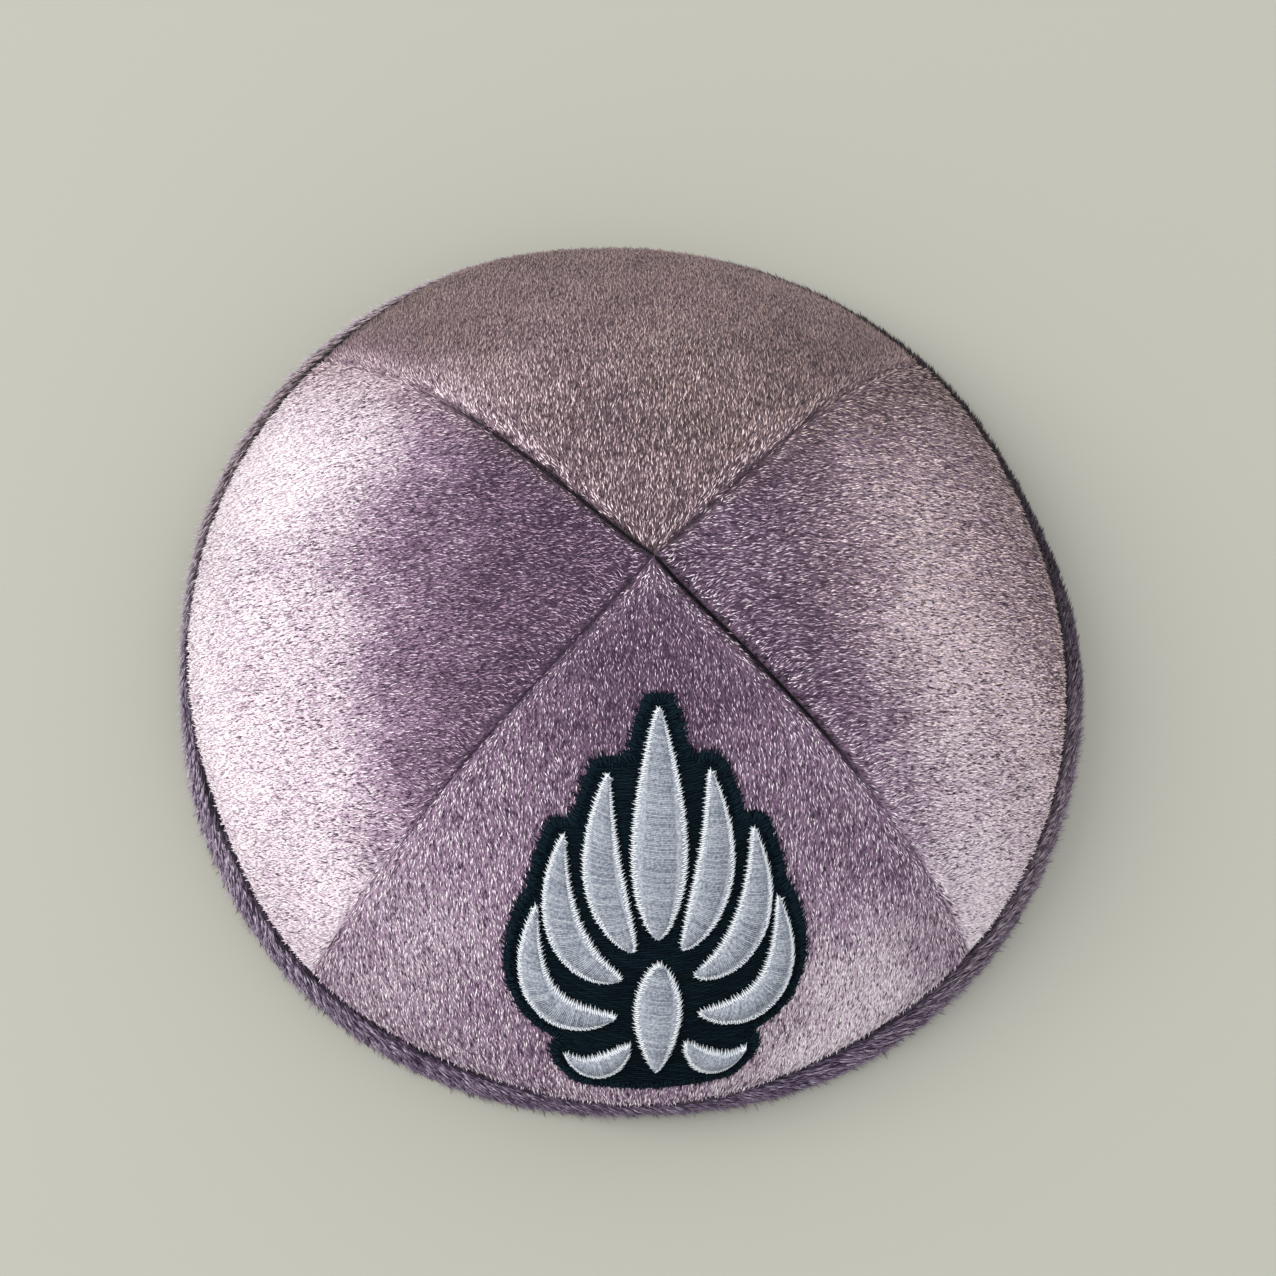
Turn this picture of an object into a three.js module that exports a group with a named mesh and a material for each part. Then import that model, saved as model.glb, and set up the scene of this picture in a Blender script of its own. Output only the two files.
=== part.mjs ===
// A four-panel velvet skullcap standing on its bound rim, in millimetres, +Z up.
// Four cloth panels meet at the apex along sunken seams, and a folded velvet binding holds
// their lower edges. The panel that faces -Y carries an embroidered palmette: pale leaves
// on a dark ground. The origin is the middle of the cap's footprint, on the table.
import * as THREE from "three";

// Driving dimensions
const rimRadius = 85; // mean radius of the rim's foot
const crownHeight = 58; // table to apex
const wall = 2.2; // panel cloth with its backing
const gap = 0.3; // clearance between neighbouring pieces

// Rim binding, a strip folded round the panels' lower edges
const bindingHeight = 7;
const bindingSkin = 1.4; // the outer leg of the fold
const bindingLining = 1; // the inner leg of the fold
const bindingRound = 0.9; // how far the fold's corners are rounded
const bindingChamfer = bindingRound / 4;
const bindingSole = 1.6; // height of the folded cloth under the channel
const bindingBulge = 0.25; // how far the outer leg swells at its middle

// Panels
const panelEdge = 1.3; // wall of the panel's edge inside the binding
const panelLip = 1.3; // height of the roll above the binding
const panelSwell = 0.3; // how far the panel stands out over its groove
const seamSink = 0.8; // depth of the seam below the panels
const seamRoll = 3.5; // distance over which a panel rolls down into its seam
const peakWidth = 8; // the seams come up to the surface within this radius of the apex

// Embroidery
const motifWidth = 47;
const motifHeight = 72; // measured along the cloth
const motifFoot = 7.2; // cloth between the panel's lower edge and the motif
const groundMargin = 2.6; // dark border round the leaves
const endMargin = 0.9 * groundMargin; // the same at the motif's top and foot
const groundPad = 0.6; // thickness of the dark stitching
const leafPad = 0.6; // thickness of the leaf stitching at its edge
const leafCrown = 0.45; // how much thicker a leaf is along its middle
const leafTip = 0.06; // breadth of a leaf's ends as a share of its full breadth
const leafRootBias = 0.85; // under 1 moves a leaf's broadest place towards its root
const leafFullness = 0.8; // under 1 makes a leaf fuller towards its ends

// The rim's foot as a share of rimRadius, and how far the binding leans in as it rises, as a
// share of its height. Angles are in degrees, 0 at +X and 90 at the back, evenly spaced.
const rimRows = [
  { angle: 0, foot: 0.987, lean: 0.67 },
  { angle: 22.5, foot: 0.966, lean: 0.55 },
  { angle: 45, foot: 0.982, lean: 0.55 },
  { angle: 67.5, foot: 0.984, lean: 0.55 },
  { angle: 90, foot: 0.986, lean: 0.5 },
  { angle: 112.5, foot: 1.006, lean: 0.5 },
  { angle: 135, foot: 1.012, lean: 0.62 },
  { angle: 157.5, foot: 0.997, lean: 0.46 },
  { angle: 180, foot: 0.979, lean: 0.26 },
  { angle: 202.5, foot: 0.999, lean: 0.48 },
  { angle: 225, foot: 1.015, lean: 0.36 },
  { angle: 247.5, foot: 1.008, lean: 0.34 },
  { angle: 270, foot: 0.987, lean: 0.06 },
  { angle: 292.5, foot: 0.999, lean: 0.4 },
  { angle: 315, foot: 1.001, lean: 0.46 },
  { angle: 337.5, foot: 0.991, lean: 0.5 },
];

// The crown's profile from the apex down. height is a share of the crown's rise above the
// binding, and the radii are shares of the crown's radius there.
const crownRows = [
  { height: 1, seam: 0, middle: 0 },
  { height: 0.962, seam: 0.122, middle: 0.095 },
  { height: 0.93, seam: 0.244, middle: 0.2 },
  { height: 0.884, seam: 0.366, middle: 0.313 },
  { height: 0.815, seam: 0.488, middle: 0.432 },
  { height: 0.728, seam: 0.59, middle: 0.538 },
  { height: 0.622, seam: 0.682, middle: 0.63 },
  { height: 0.505, seam: 0.765, middle: 0.734 },
  { height: 0.388, seam: 0.835, middle: 0.824 },
  { height: 0.275, seam: 0.894, middle: 0.896 },
  { height: 0.165, seam: 0.942, middle: 0.95 },
  { height: 0.072, seam: 0.978, middle: 0.986 },
  { height: 0, seam: 1, middle: 1 },
];

// Each leaf's spine runs from its root past a bend to its tip. The places are [x, y], x and
// breadth as shares of half the motif's width and y as a share of its height. A paired leaf
// is made on both sides.
const leafRows = [
  { name: "centre", root: [0, 0.4], bend: [0, 0.6], tip: [0, 0.95], breadth: 0.2 },
  { name: "calyx", root: [0, 0.34], bend: [0, 0.2], tip: [0, 0.045], breadth: 0.17 },
];
const pairedLeafRows = [
  { name: "upper", root: [0.17, 0.37], bend: [0.52, 0.5], tip: [0.36, 0.79], breadth: 0.15 },
  { name: "middle", root: [0.26, 0.3], bend: [0.86, 0.32], tip: [0.68, 0.63], breadth: 0.15 },
  { name: "lower", root: [0.3, 0.2], bend: [1.08, 0.12], tip: [0.88, 0.44], breadth: 0.14 },
  { name: "scroll", root: [0.2, 0.125], bend: [0.42, 0.0], tip: [0.66, 0.075], breadth: 0.1 },
];

// Mesh fineness
const rimSteps = 72;
const groundRows = 30;
const groundColumns = 8;
const leafSections = 9;
const leafColumns = 4;
const edgeSamples = 24;
const lengthSamples = 120;
// Stations across half a panel, as shares of its half angle, closer together at the seam
const halfStations = [0, 0.12, 0.24, 0.36, 0.48, 0.6, 0.72, 0.84, 0.93, 0.97, 1];

const quarterTurn = Math.PI / 2;
const halfPanel = quarterTurn / 2;
const crownBase = bindingHeight + panelLip;
const frontAngle = -quarterTurn;
const tiny = 1e-6; // keeps a division off zero at the apex
const slopeStep = 1e-3; // share of the surface over which its slope is taken

// A value of the rim table at any angle, by a periodic cubic through its rows.
function rimShare(column, angle) {
  const count = rimRows.length;
  const place = (angle / (2 * Math.PI)) * count;
  const first = Math.floor(place);
  const part = place - first;
  const rowAt = (index) => rimRows[THREE.MathUtils.euclideanModulo(index, count)];
  const [a, b, c, d] = [-1, 0, 1, 2].map((step) => rowAt(first + step)[column]);
  const slopeStart = (c - a) / 2;
  const slopeEnd = (d - b) / 2;
  const cubic = 2 * (b - c) + slopeStart + slopeEnd;
  const square = 3 * (c - b) - 2 * slopeStart - slopeEnd;
  return ((cubic * part + square) * part + slopeStart) * part + b;
}

// A point of the leaning rim: inset is measured in from the foot's edge, height from the table.
function rimPoint(angle, inset, height) {
  const radius = rimRadius * rimShare("foot", angle) - inset - rimShare("lean", angle) * height;
  return new THREE.Vector3(radius * Math.cos(angle), radius * Math.sin(angle), height);
}

function profileCurve(column) {
  return new THREE.SplineCurve(crownRows.map((row) => new THREE.Vector2(row[column], row.height)));
}

const seamCurve = profileCurve("seam");
const middleCurve = profileCurve("middle");

// The crown's radius in the direction of an angle, at its base above the binding.
function crownRadius(angle) {
  const foot = rimPoint(angle, -panelSwell, crownBase);
  return Math.hypot(foot.x, foot.y);
}

// A point of the crown at a share of its profile, at a depth inside the outer surface. across
// runs from -1 to 1 between a panel's seams, and clearance is kept from each seam's plane.
function crownPoint(panelAngle, across, along, depth, clearance = 0) {
  const middle = middleCurve.getPoint(along);
  const seam = seamCurve.getPoint(along);
  const radiusAt = (turn) => {
    const corner = (1 / Math.cos(turn) - 1) / (Math.SQRT2 - 1);
    const share = THREE.MathUtils.lerp(middle.x, seam.x, corner);
    return share * (crownRadius(panelAngle + turn) - depth);
  };
  const nearSeam = Math.max(radiusAt(halfPanel), 2 * clearance, tiny);
  const turn = across * (halfPanel - Math.asin(clearance / nearSeam));
  const radius = Math.max(radiusAt(turn), 2 * clearance);
  const height = crownBase + middle.y * (crownHeight - crownBase - depth);
  const angle = panelAngle + turn;
  return new THREE.Vector3(radius * Math.cos(angle), radius * Math.sin(angle), height);
}

// How far the cloth has rolled down towards its seam at a place on the panel.
function seamDepth(panelAngle, across, along) {
  const place = crownPoint(panelAngle, across, along, 0);
  const radius = Math.hypot(place.x, place.y);
  const fromSeam = radius * Math.sin(halfPanel * (1 - Math.abs(across)));
  const rolled = 1 - THREE.MathUtils.smoothstep(fromSeam, 0, seamRoll);
  return seamSink * rolled * THREE.MathUtils.smoothstep(radius, 0, peakWidth);
}

// A closed solid through loops of equal length: joined end to start, or capped at both ends.
// A cap pairs each point of the loop's first half with the one that faces it in the second.
function loft(loops, joined) {
  const perLoop = loops[0].length;
  const positions = loops.flat().flatMap((point) => point.toArray());
  const faces = [];
  const spans = joined ? loops.length : loops.length - 1;
  for (let i = 0; i < spans; i++) {
    const here = i * perLoop;
    const next = ((i + 1) % loops.length) * perLoop;
    for (let j = 0; j < perLoop; j++) {
      const after = (j + 1) % perLoop;
      faces.push(here + j, here + after, next + after, here + j, next + after, next + j);
    }
  }
  if (!joined) {
    const last = (loops.length - 1) * perLoop;
    for (let j = 0; j < perLoop / 2 - 1; j++) {
      const [a, b, c, d] = [j, j + 1, perLoop - 2 - j, perLoop - 1 - j];
      faces.push(a, c, b, a, d, c);
      faces.push(last + a, last + b, last + c, last + a, last + c, last + d);
    }
  }
  const geometry = new THREE.BufferGeometry();
  geometry.setAttribute("position", new THREE.Float32BufferAttribute(positions, 3));
  geometry.setIndex(signedVolume(positions, faces) < 0 ? faces.reverse() : faces);
  geometry.computeVertexNormals();
  return geometry;
}

// Negative where the faces point into the solid.
function signedVolume(positions, faces) {
  const corner = (k) => new THREE.Vector3().fromArray(positions, faces[k] * 3);
  let sixfold = 0;
  for (let k = 0; k < faces.length; k += 3) {
    sixfold += corner(k).dot(corner(k + 1).cross(corner(k + 2)));
  }
  return sixfold / 6;
}

// One quarter of the crown. Its lower edge steps in and hangs inside the binding's fold.
function panelGeometry(panelAngle) {
  const channelOuter = bindingSkin + gap;
  const channelInner = channelOuter + panelEdge;
  const channelFloor = bindingSole + gap;
  const ledge = bindingHeight + gap;
  const stations = [...halfStations.slice(1).map((share) => -share).reverse(), ...halfStations];
  const seamClearance = gap / 2;
  const loops = stations.map((across) => {
    const outer = [];
    const inner = [];
    crownRows.forEach((row, index) => {
      const along = index / (crownRows.length - 1);
      const rolled = seamDepth(panelAngle, across, along);
      outer.push(crownPoint(panelAngle, across, along, rolled, seamClearance));
      inner.push(crownPoint(panelAngle, across, along, wall, seamClearance));
    });
    const edge = outer[outer.length - 1];
    const angle = Math.atan2(edge.y, edge.x);
    outer.push(rimPoint(angle, bindingRound, ledge));
    outer.push(rimPoint(angle, channelOuter, ledge), rimPoint(angle, channelOuter, channelFloor));
    inner.push(rimPoint(angle, channelInner, crownBase), rimPoint(angle, channelInner, ledge));
    inner.push(rimPoint(angle, channelInner, channelFloor));
    return [...outer, ...inner.reverse()];
  });
  return loft(loops, false);
}

// The folded strip round the rim: an outer leg, a sole that rests on the table, an inner leg.
function bindingGeometry() {
  const channelOuter = bindingSkin;
  const channelInner = bindingSkin + panelEdge + 2 * gap;
  const back = channelInner + bindingLining;
  const section = [
    [bindingRound, 0],
    [bindingChamfer, bindingRound / 2],
    [0, bindingRound + bindingChamfer],
    [-bindingBulge, bindingHeight / 2],
    [bindingChamfer, bindingHeight - bindingRound],
    [bindingRound, bindingHeight],
    [channelOuter, bindingHeight],
    [channelOuter, bindingSole],
    [channelInner, bindingSole],
    [channelInner, bindingHeight],
    [back, bindingHeight - bindingRound],
    [back, bindingRound],
    [back - bindingRound, 0],
  ];
  const loops = [];
  for (let step = 0; step < rimSteps; step++) {
    const angle = (step / rimSteps) * 2 * Math.PI;
    loops.push(section.map(([inset, height]) => rimPoint(angle, inset, height)));
  }
  return loft(loops, true);
}

// Lengths along the front panel's middle line, from its lower edge up to the apex.
const frontLengths = [0];
for (let sample = 1; sample <= lengthSamples; sample++) {
  const lower = crownPoint(frontAngle, 0, 1 - (sample - 1) / lengthSamples, 0);
  const upper = crownPoint(frontAngle, 0, 1 - sample / lengthSamples, 0);
  frontLengths.push(frontLengths[sample - 1] + lower.distanceTo(upper));
}

// The share of the profile at which the front's middle line has a given length.
function alongAt(length) {
  const above = Math.max(1, frontLengths.findIndex((reached) => reached >= length));
  const [low, high] = [frontLengths[above - 1], frontLengths[above]];
  return 1 - (above - 1 + (length - low) / (high - low)) / lengthSamples;
}

// A point over the front panel: x across it and y up it along the cloth, lifted off the cloth.
function overFront(x, y, lift) {
  const along = alongAt(motifFoot + y);
  const middle = crownPoint(frontAngle, 0, along, 0);
  const across = x / Math.hypot(middle.x, middle.y) / halfPanel;
  const step = slopeStep;
  const place = crownPoint(frontAngle, across, along, 0);
  const sideways = crownPoint(frontAngle, across + step, along, 0).sub(place);
  const upwards = crownPoint(frontAngle, across, along - step, 0).sub(place);
  return place.addScaledVector(sideways.cross(upwards).normalize(), lift);
}

// A leaf in the plane of the motif: a spine with a breadth that swells past its root.
function leafShape(row, side) {
  const at = ([x, y]) => new THREE.Vector2((side * x * motifWidth) / 2, y * motifHeight);
  const spine = new THREE.QuadraticBezierCurve(at(row.root), at(row.bend), at(row.tip));
  const fullBreadth = (row.breadth * motifWidth) / 2;
  const breadth = (share) => {
    const swell = Math.sin(Math.PI * share ** leafRootBias) ** leafFullness;
    return fullBreadth * (leafTip + (1 - leafTip) * swell);
  };
  // A place on the leaf: share along the spine, offset from -1 to 1 across it.
  const place = (share, offset) => {
    const centre = spine.getPoint(share);
    const heading = spine.getTangent(share);
    const reach = offset * breadth(share);
    return new THREE.Vector2(centre.x - heading.y * reach, centre.y + heading.x * reach);
  };
  return { place };
}

const leaves = [
  ...leafRows.map((row) => ({ name: "leaf_" + row.name, shape: leafShape(row, 1) })),
  ...pairedLeafRows.flatMap((row) => [
    { name: "leaf_" + row.name + "_left", shape: leafShape(row, -1) },
    { name: "leaf_" + row.name + "_right", shape: leafShape(row, 1) },
  ]),
];

// One leaf of raised stitching, thickest along its spine, over the dark ground.
function leafGeometry(shape) {
  const underside = gap + groundPad + gap;
  const loops = [];
  for (let section = 0; section < leafSections; section++) {
    const share = section / (leafSections - 1);
    const top = [];
    const bottom = [];
    for (let column = 0; column <= leafColumns; column++) {
      const offset = (2 * column) / leafColumns - 1;
      const place = shape.place(share, offset);
      const bulge = leafCrown * (1 - offset * offset) * Math.sin(Math.PI * share);
      top.push(overFront(place.x, place.y, underside + leafPad + bulge));
      bottom.push(overFront(place.x, place.y, underside));
    }
    loops.push([...top, ...bottom.reverse()]);
  }
  return loft(loops, false);
}

// Points round the edges of all leaves, which the dark ground's outline keeps its margin from.
const leafEdges = leaves.flatMap(({ shape }) => {
  const edge = [];
  for (let sample = 0; sample <= edgeSamples; sample++) {
    edge.push(shape.place(sample / edgeSamples, 1), shape.place(sample / edgeSamples, -1));
  }
  return edge;
});

// Half the ground's width at a height of the motif.
function groundHalfWidth(y) {
  const reaches = leafEdges
    .filter((point) => Math.abs(point.y - y) < groundMargin)
    .map((point) => Math.abs(point.x) + Math.sqrt(groundMargin ** 2 - (point.y - y) ** 2));
  return Math.max(...reaches);
}

// The dark stitched ground under the leaves, one piece with a lobed outline.
function groundGeometry() {
  const heights = leafEdges.map((point) => point.y);
  const [low, high] = [Math.min(...heights) - endMargin, Math.max(...heights) + endMargin];
  const loops = [];
  for (let row = 0; row <= groundRows; row++) {
    const y = THREE.MathUtils.lerp(low, high, row / groundRows);
    const halfWidth = groundHalfWidth(y);
    const top = [];
    const bottom = [];
    for (let column = 0; column <= groundColumns; column++) {
      const x = halfWidth * ((2 * column) / groundColumns - 1);
      top.push(overFront(x, y, gap + groundPad));
      bottom.push(overFront(x, y, gap));
    }
    loops.push([...top, ...bottom.reverse()]);
  }
  return loft(loops, false);
}

function cloth(name, color, roughness) {
  return new THREE.MeshStandardMaterial({ name, color, roughness, metalness: 0 });
}

const velvet = cloth("velvet", 0x9b8397, 0.95);
const bindingVelvet = cloth("binding_velvet", 0x6d5c76, 0.95);
const darkThread = cloth("dark_thread", 0x0c151a, 0.8);
const silverThread = cloth("silver_thread", 0xaeb1c0, 0.45);

const cap = new THREE.Group();

function add(name, geometry, material) {
  const mesh = new THREE.Mesh(geometry, material);
  mesh.name = name;
  cap.add(mesh);
}

const panelNames = ["right_panel", "back_panel", "left_panel", "front_panel"];
panelNames.forEach((name, index) => add(name, panelGeometry(index * quarterTurn), velvet));
add("rim_binding", bindingGeometry(), bindingVelvet);
add("embroidery_ground", groundGeometry(), darkThread);
for (const { name, shape } of leaves) add(name, leafGeometry(shape), silverThread);

// The rim isn't a true circle, so the cap is centred on its footprint.
const footprint = new THREE.Box3().setFromObject(cap).getCenter(new THREE.Vector3());
cap.position.set(-footprint.x, -footprint.y, 0);

const skullcap = new THREE.Group();
skullcap.add(cap);

export default skullcap;
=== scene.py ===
"""A mauve velvet skullcap: piled panels, a folded rim binding and an embroidered palmette.

Every size is in metres. The crown and the rim follow the same named sizes and short tables
as the part's own source, so that each piece lies where its solid is.
"""

import logging
import math
from collections.abc import Sequence
from dataclasses import dataclass, field
from enum import Enum

import bpy
import numpy as np
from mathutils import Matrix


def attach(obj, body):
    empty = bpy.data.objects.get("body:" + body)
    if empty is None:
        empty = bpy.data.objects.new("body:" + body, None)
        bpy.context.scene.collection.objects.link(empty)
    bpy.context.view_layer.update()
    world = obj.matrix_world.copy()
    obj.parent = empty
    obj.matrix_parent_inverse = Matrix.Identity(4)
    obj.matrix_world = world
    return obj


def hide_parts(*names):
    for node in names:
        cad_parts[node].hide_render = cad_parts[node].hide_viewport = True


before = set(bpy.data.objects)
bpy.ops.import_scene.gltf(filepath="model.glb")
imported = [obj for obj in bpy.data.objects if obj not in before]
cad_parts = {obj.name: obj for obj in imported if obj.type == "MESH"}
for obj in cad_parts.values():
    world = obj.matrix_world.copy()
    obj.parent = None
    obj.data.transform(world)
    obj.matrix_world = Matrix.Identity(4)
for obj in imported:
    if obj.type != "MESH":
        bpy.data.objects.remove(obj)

Array = np.ndarray
Color = tuple[float, float, float]
Place = tuple[float, float, float]
Chance = np.random.Generator
Material = bpy.types.Material
Piece = bpy.types.Object
Socket = bpy.types.NodeSocket

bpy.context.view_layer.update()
BAKE_MAP = "OFBake"
NAP_MAP = "nap"
MM = 0.001
HALF_PANEL = math.pi / 4

log = logging.getLogger("skullcap")


class Facing(Enum):
    """The way that a crown panel faces, as the angle of its middle line."""

    RIGHT = 0.0
    BACK = math.pi / 2
    LEFT = math.pi
    FRONT = 1.5 * math.pi

    @property
    def word(self) -> str:
        """The facing in lower case, as the nodes' names have it."""
        return self.name.lower()

    @property
    def panel_node(self) -> str:
        """The name of the solid of this panel."""
        return f"{self.word}_panel"


@dataclass(frozen=True)
class RimRow:
    """One row of the rim's plan.

    foot is a share of the rim's radius, and lean how far the binding leans in as it rises,
    as a share of its height.
    """

    foot: float
    lean: float


@dataclass(frozen=True)
class CrownRow:
    """One row of the crown's profile: a height as a share of its rise, and radii as shares."""

    height: float
    seam: float
    middle: float


@dataclass(frozen=True)
class LeafRow:
    """One leaf's spine and breadth, as shares of half the motif's width and of its height."""

    name: str
    root: tuple[float, float]
    bend: tuple[float, float]
    tip: tuple[float, float]
    breadth: float
    paired: bool = True


RIM_ROWS = (
    RimRow(0.987, 0.67),
    RimRow(0.966, 0.55),
    RimRow(0.982, 0.55),
    RimRow(0.984, 0.55),
    RimRow(0.986, 0.5),
    RimRow(1.006, 0.5),
    RimRow(1.012, 0.62),
    RimRow(0.997, 0.46),
    RimRow(0.979, 0.26),
    RimRow(0.999, 0.48),
    RimRow(1.015, 0.36),
    RimRow(1.008, 0.34),
    RimRow(0.987, 0.06),
    RimRow(0.999, 0.4),
    RimRow(1.001, 0.46),
    RimRow(0.991, 0.5),
)

CROWN_ROWS = (
    CrownRow(1.0, 0.0, 0.0),
    CrownRow(0.962, 0.122, 0.095),
    CrownRow(0.93, 0.244, 0.2),
    CrownRow(0.884, 0.366, 0.313),
    CrownRow(0.815, 0.488, 0.432),
    CrownRow(0.728, 0.59, 0.538),
    CrownRow(0.622, 0.682, 0.63),
    CrownRow(0.505, 0.765, 0.734),
    CrownRow(0.388, 0.835, 0.824),
    CrownRow(0.275, 0.894, 0.896),
    CrownRow(0.165, 0.942, 0.95),
    CrownRow(0.072, 0.978, 0.986),
    CrownRow(0.0, 1.0, 1.0),
)

LEAF_ROWS = (
    LeafRow("centre", (0.0, 0.4), (0.0, 0.6), (0.0, 0.95), 0.2, paired=False),
    LeafRow("calyx", (0.0, 0.34), (0.0, 0.2), (0.0, 0.045), 0.17, paired=False),
    LeafRow("upper", (0.17, 0.37), (0.52, 0.5), (0.36, 0.79), 0.15),
    LeafRow("middle", (0.26, 0.3), (0.86, 0.32), (0.68, 0.63), 0.15),
    LeafRow("lower", (0.3, 0.2), (1.08, 0.12), (0.88, 0.44), 0.14),
    LeafRow("scroll", (0.2, 0.125), (0.42, 0.0), (0.66, 0.075), 0.1),
)


@dataclass(frozen=True)
class SeamRow:
    """How one seam looks: its angle, how tightly it is drawn, and how far down it stays dark.

    tight is a share of the deepest groove, and reach a share of the way to the lower edge.
    """

    angle_deg: float
    tight: float
    reach: float


@dataclass(frozen=True)
class WaveRow:
    """One wave of the cloth's unevenness: its turns across, along and from panel to panel."""

    across: float
    along: float
    facing: float


@dataclass(frozen=True)
class BrushedSheenRow:
    """A patch where brushing has turned the pile, by plan distances from the apex in mm.

    lift is how much paler, as painted sheen, or where negative how much deeper, as painted
    shade, the pile is at its middle.
    """

    right: float
    back: float
    wide: float
    long: float
    lift: float


@dataclass(frozen=True)
class PanelLook:
    """How one panel's pile lies and has been brushed, with its sheen and shade painted in.

    tone is how pale it is outside its patches, as painted sheen and shade, splay how far it
    turns towards the seams beside it, or away where negative, and contrast how much its
    hairs differ.
    """

    tone: float
    splay: float
    contrast: float
    sheen_patches: tuple[BrushedSheenRow, ...]


SEAM_ROWS = (
    SeamRow(angle_deg=45, tight=0.42, reach=0.25),
    SeamRow(angle_deg=135, tight=0.85, reach=0.3),
    SeamRow(angle_deg=225, tight=0.42, reach=0.3),
    SeamRow(angle_deg=315, tight=1.0, reach=0.3),
)

WAVE_ROWS = (
    WaveRow(across=7.1, along=9.0, facing=2.0),
    WaveRow(across=-3.3, along=13.0, facing=1.0),
)

# Painted sheen and shade of the brushed pile: paler where it would catch the light, deeper where one would
# look into it.
PANEL_LOOKS = {
    Facing.LEFT: PanelLook(tone=0.15, splay=-0.4, contrast=0.8, sheen_patches=(
        BrushedSheenRow(-90, -25, 47, 120, 0.78),
        BrushedSheenRow(-56, 34, 24, 18, 0.38),
        BrushedSheenRow(-52, -42, 11, 24, 0.22),
        BrushedSheenRow(-37, -42, 8, 12, -0.1),
        BrushedSheenRow(-38, 24, 10, 10, 0.1),
        BrushedSheenRow(-57, -3, 10, 14, 0.1),
    )),
    Facing.RIGHT: PanelLook(tone=0.22, splay=-0.6, contrast=1.0, sheen_patches=(
        BrushedSheenRow(62, -30, 27, 42, 0.52),
        BrushedSheenRow(42, 8, 17, 24, 0.28),
        BrushedSheenRow(64, -60, 16, 20, 0.26),
        BrushedSheenRow(56, 28, 24, 20, 0.2),
        BrushedSheenRow(10, 4, 10, 10, 0.08),
    )),
    Facing.BACK: PanelLook(tone=0.33, splay=0.3, contrast=1.0, sheen_patches=(
        BrushedSheenRow(-40, 33, 24, 16, 0.2),
        BrushedSheenRow(-58, 42, 14, 14, 0.22),
        BrushedSheenRow(0, 20, 16, 22, -0.02),
        BrushedSheenRow(36, 40, 16, 18, -0.1),
        BrushedSheenRow(0, 78, 60, 14, -0.05),
    )),
    Facing.FRONT: PanelLook(tone=0.4, splay=0.25, contrast=1.0, sheen_patches=(
        BrushedSheenRow(38, -78, 24, 28, 0.44),
        BrushedSheenRow(-48, -72, 26, 26, 0.14),
        BrushedSheenRow(-40, -52, 14, 16, 0.12),
        BrushedSheenRow(0, -20, 24, 18, -0.2),
        BrushedSheenRow(36, -50, 10, 12, -0.08),
        BrushedSheenRow(0, -86, 34, 12, 0.14),
    )),
}


def unit(vectors: Array) -> Array:
    """Vectors scaled to length one."""
    length = np.linalg.norm(vectors, axis=-1, keepdims=True)
    return vectors / np.maximum(length, 1e-12)


def smooth_step(value: Array, low: float, high: float) -> Array:
    """A smooth rise from 0 at low to 1 at high."""
    share = np.clip((value - low) / (high - low), 0.0, 1.0)
    return share * share * (3.0 - 2.0 * share)


@dataclass(frozen=True)
class Rise:
    """A smooth rise from 0 at one value to 1 at another."""

    low: float
    high: float

    def at(self, value: Array) -> Array:
        """How far the rise has come at a value."""
        return smooth_step(value, self.low, self.high)


def reached_along(path: Array) -> Array:
    """The length of a path up to each of its points."""
    steps = np.linalg.norm(np.diff(path, axis=0), axis=1)
    return np.concatenate([[0.0], np.cumsum(steps)])


def cubic_between(before: Array, start: Array, end: Array, after: Array, share: Array) -> Array:
    """A smooth curve's value between two of its rows.

    Args:
        before: The row before the stretch.
        start: The row at its start.
        end: The row at its end.
        after: The row after it.
        share: How far along the stretch, from 0 to 1.

    Returns:
        The curve's value there.
    """
    slope_start = (end - before) / 2
    slope_end = (after - start) / 2
    cubic = 2 * (start - end) + slope_start + slope_end
    square = 3 * (end - start) - 2 * slope_start - slope_end
    return ((cubic * share + square) * share + slope_start) * share + start


class Cloud:
    """Soft random values over a plane, for hairs that lie in tufts."""

    def __init__(self, rng: Chance, size: int = 509) -> None:
        """Fill the lattice that the values are read from."""
        self.lattice = rng.uniform(-1, 1, (size, size))

    def at(self, first: Array, second: Array) -> Array:
        """The values, from -1 to 1, at places given in lattice cells.

        Args:
            first: Places along the lattice's rows.
            second: Places along its columns.

        Returns:
            One value for each.
        """
        size = len(self.lattice)
        low_a, low_b = np.floor(first).astype(int), np.floor(second).astype(int)
        a, b = smooth_step(first - low_a, 0, 1), smooth_step(second - low_b, 0, 1)
        pick = [[self.lattice[(low_a + i) % size, (low_b + j) % size] for j in (0, 1)] for i in (0, 1)]
        near = pick[0][0] * (1 - b) + pick[0][1] * b
        far = pick[1][0] * (1 - b) + pick[1][1] * b
        return near * (1 - a) + far * a


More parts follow.
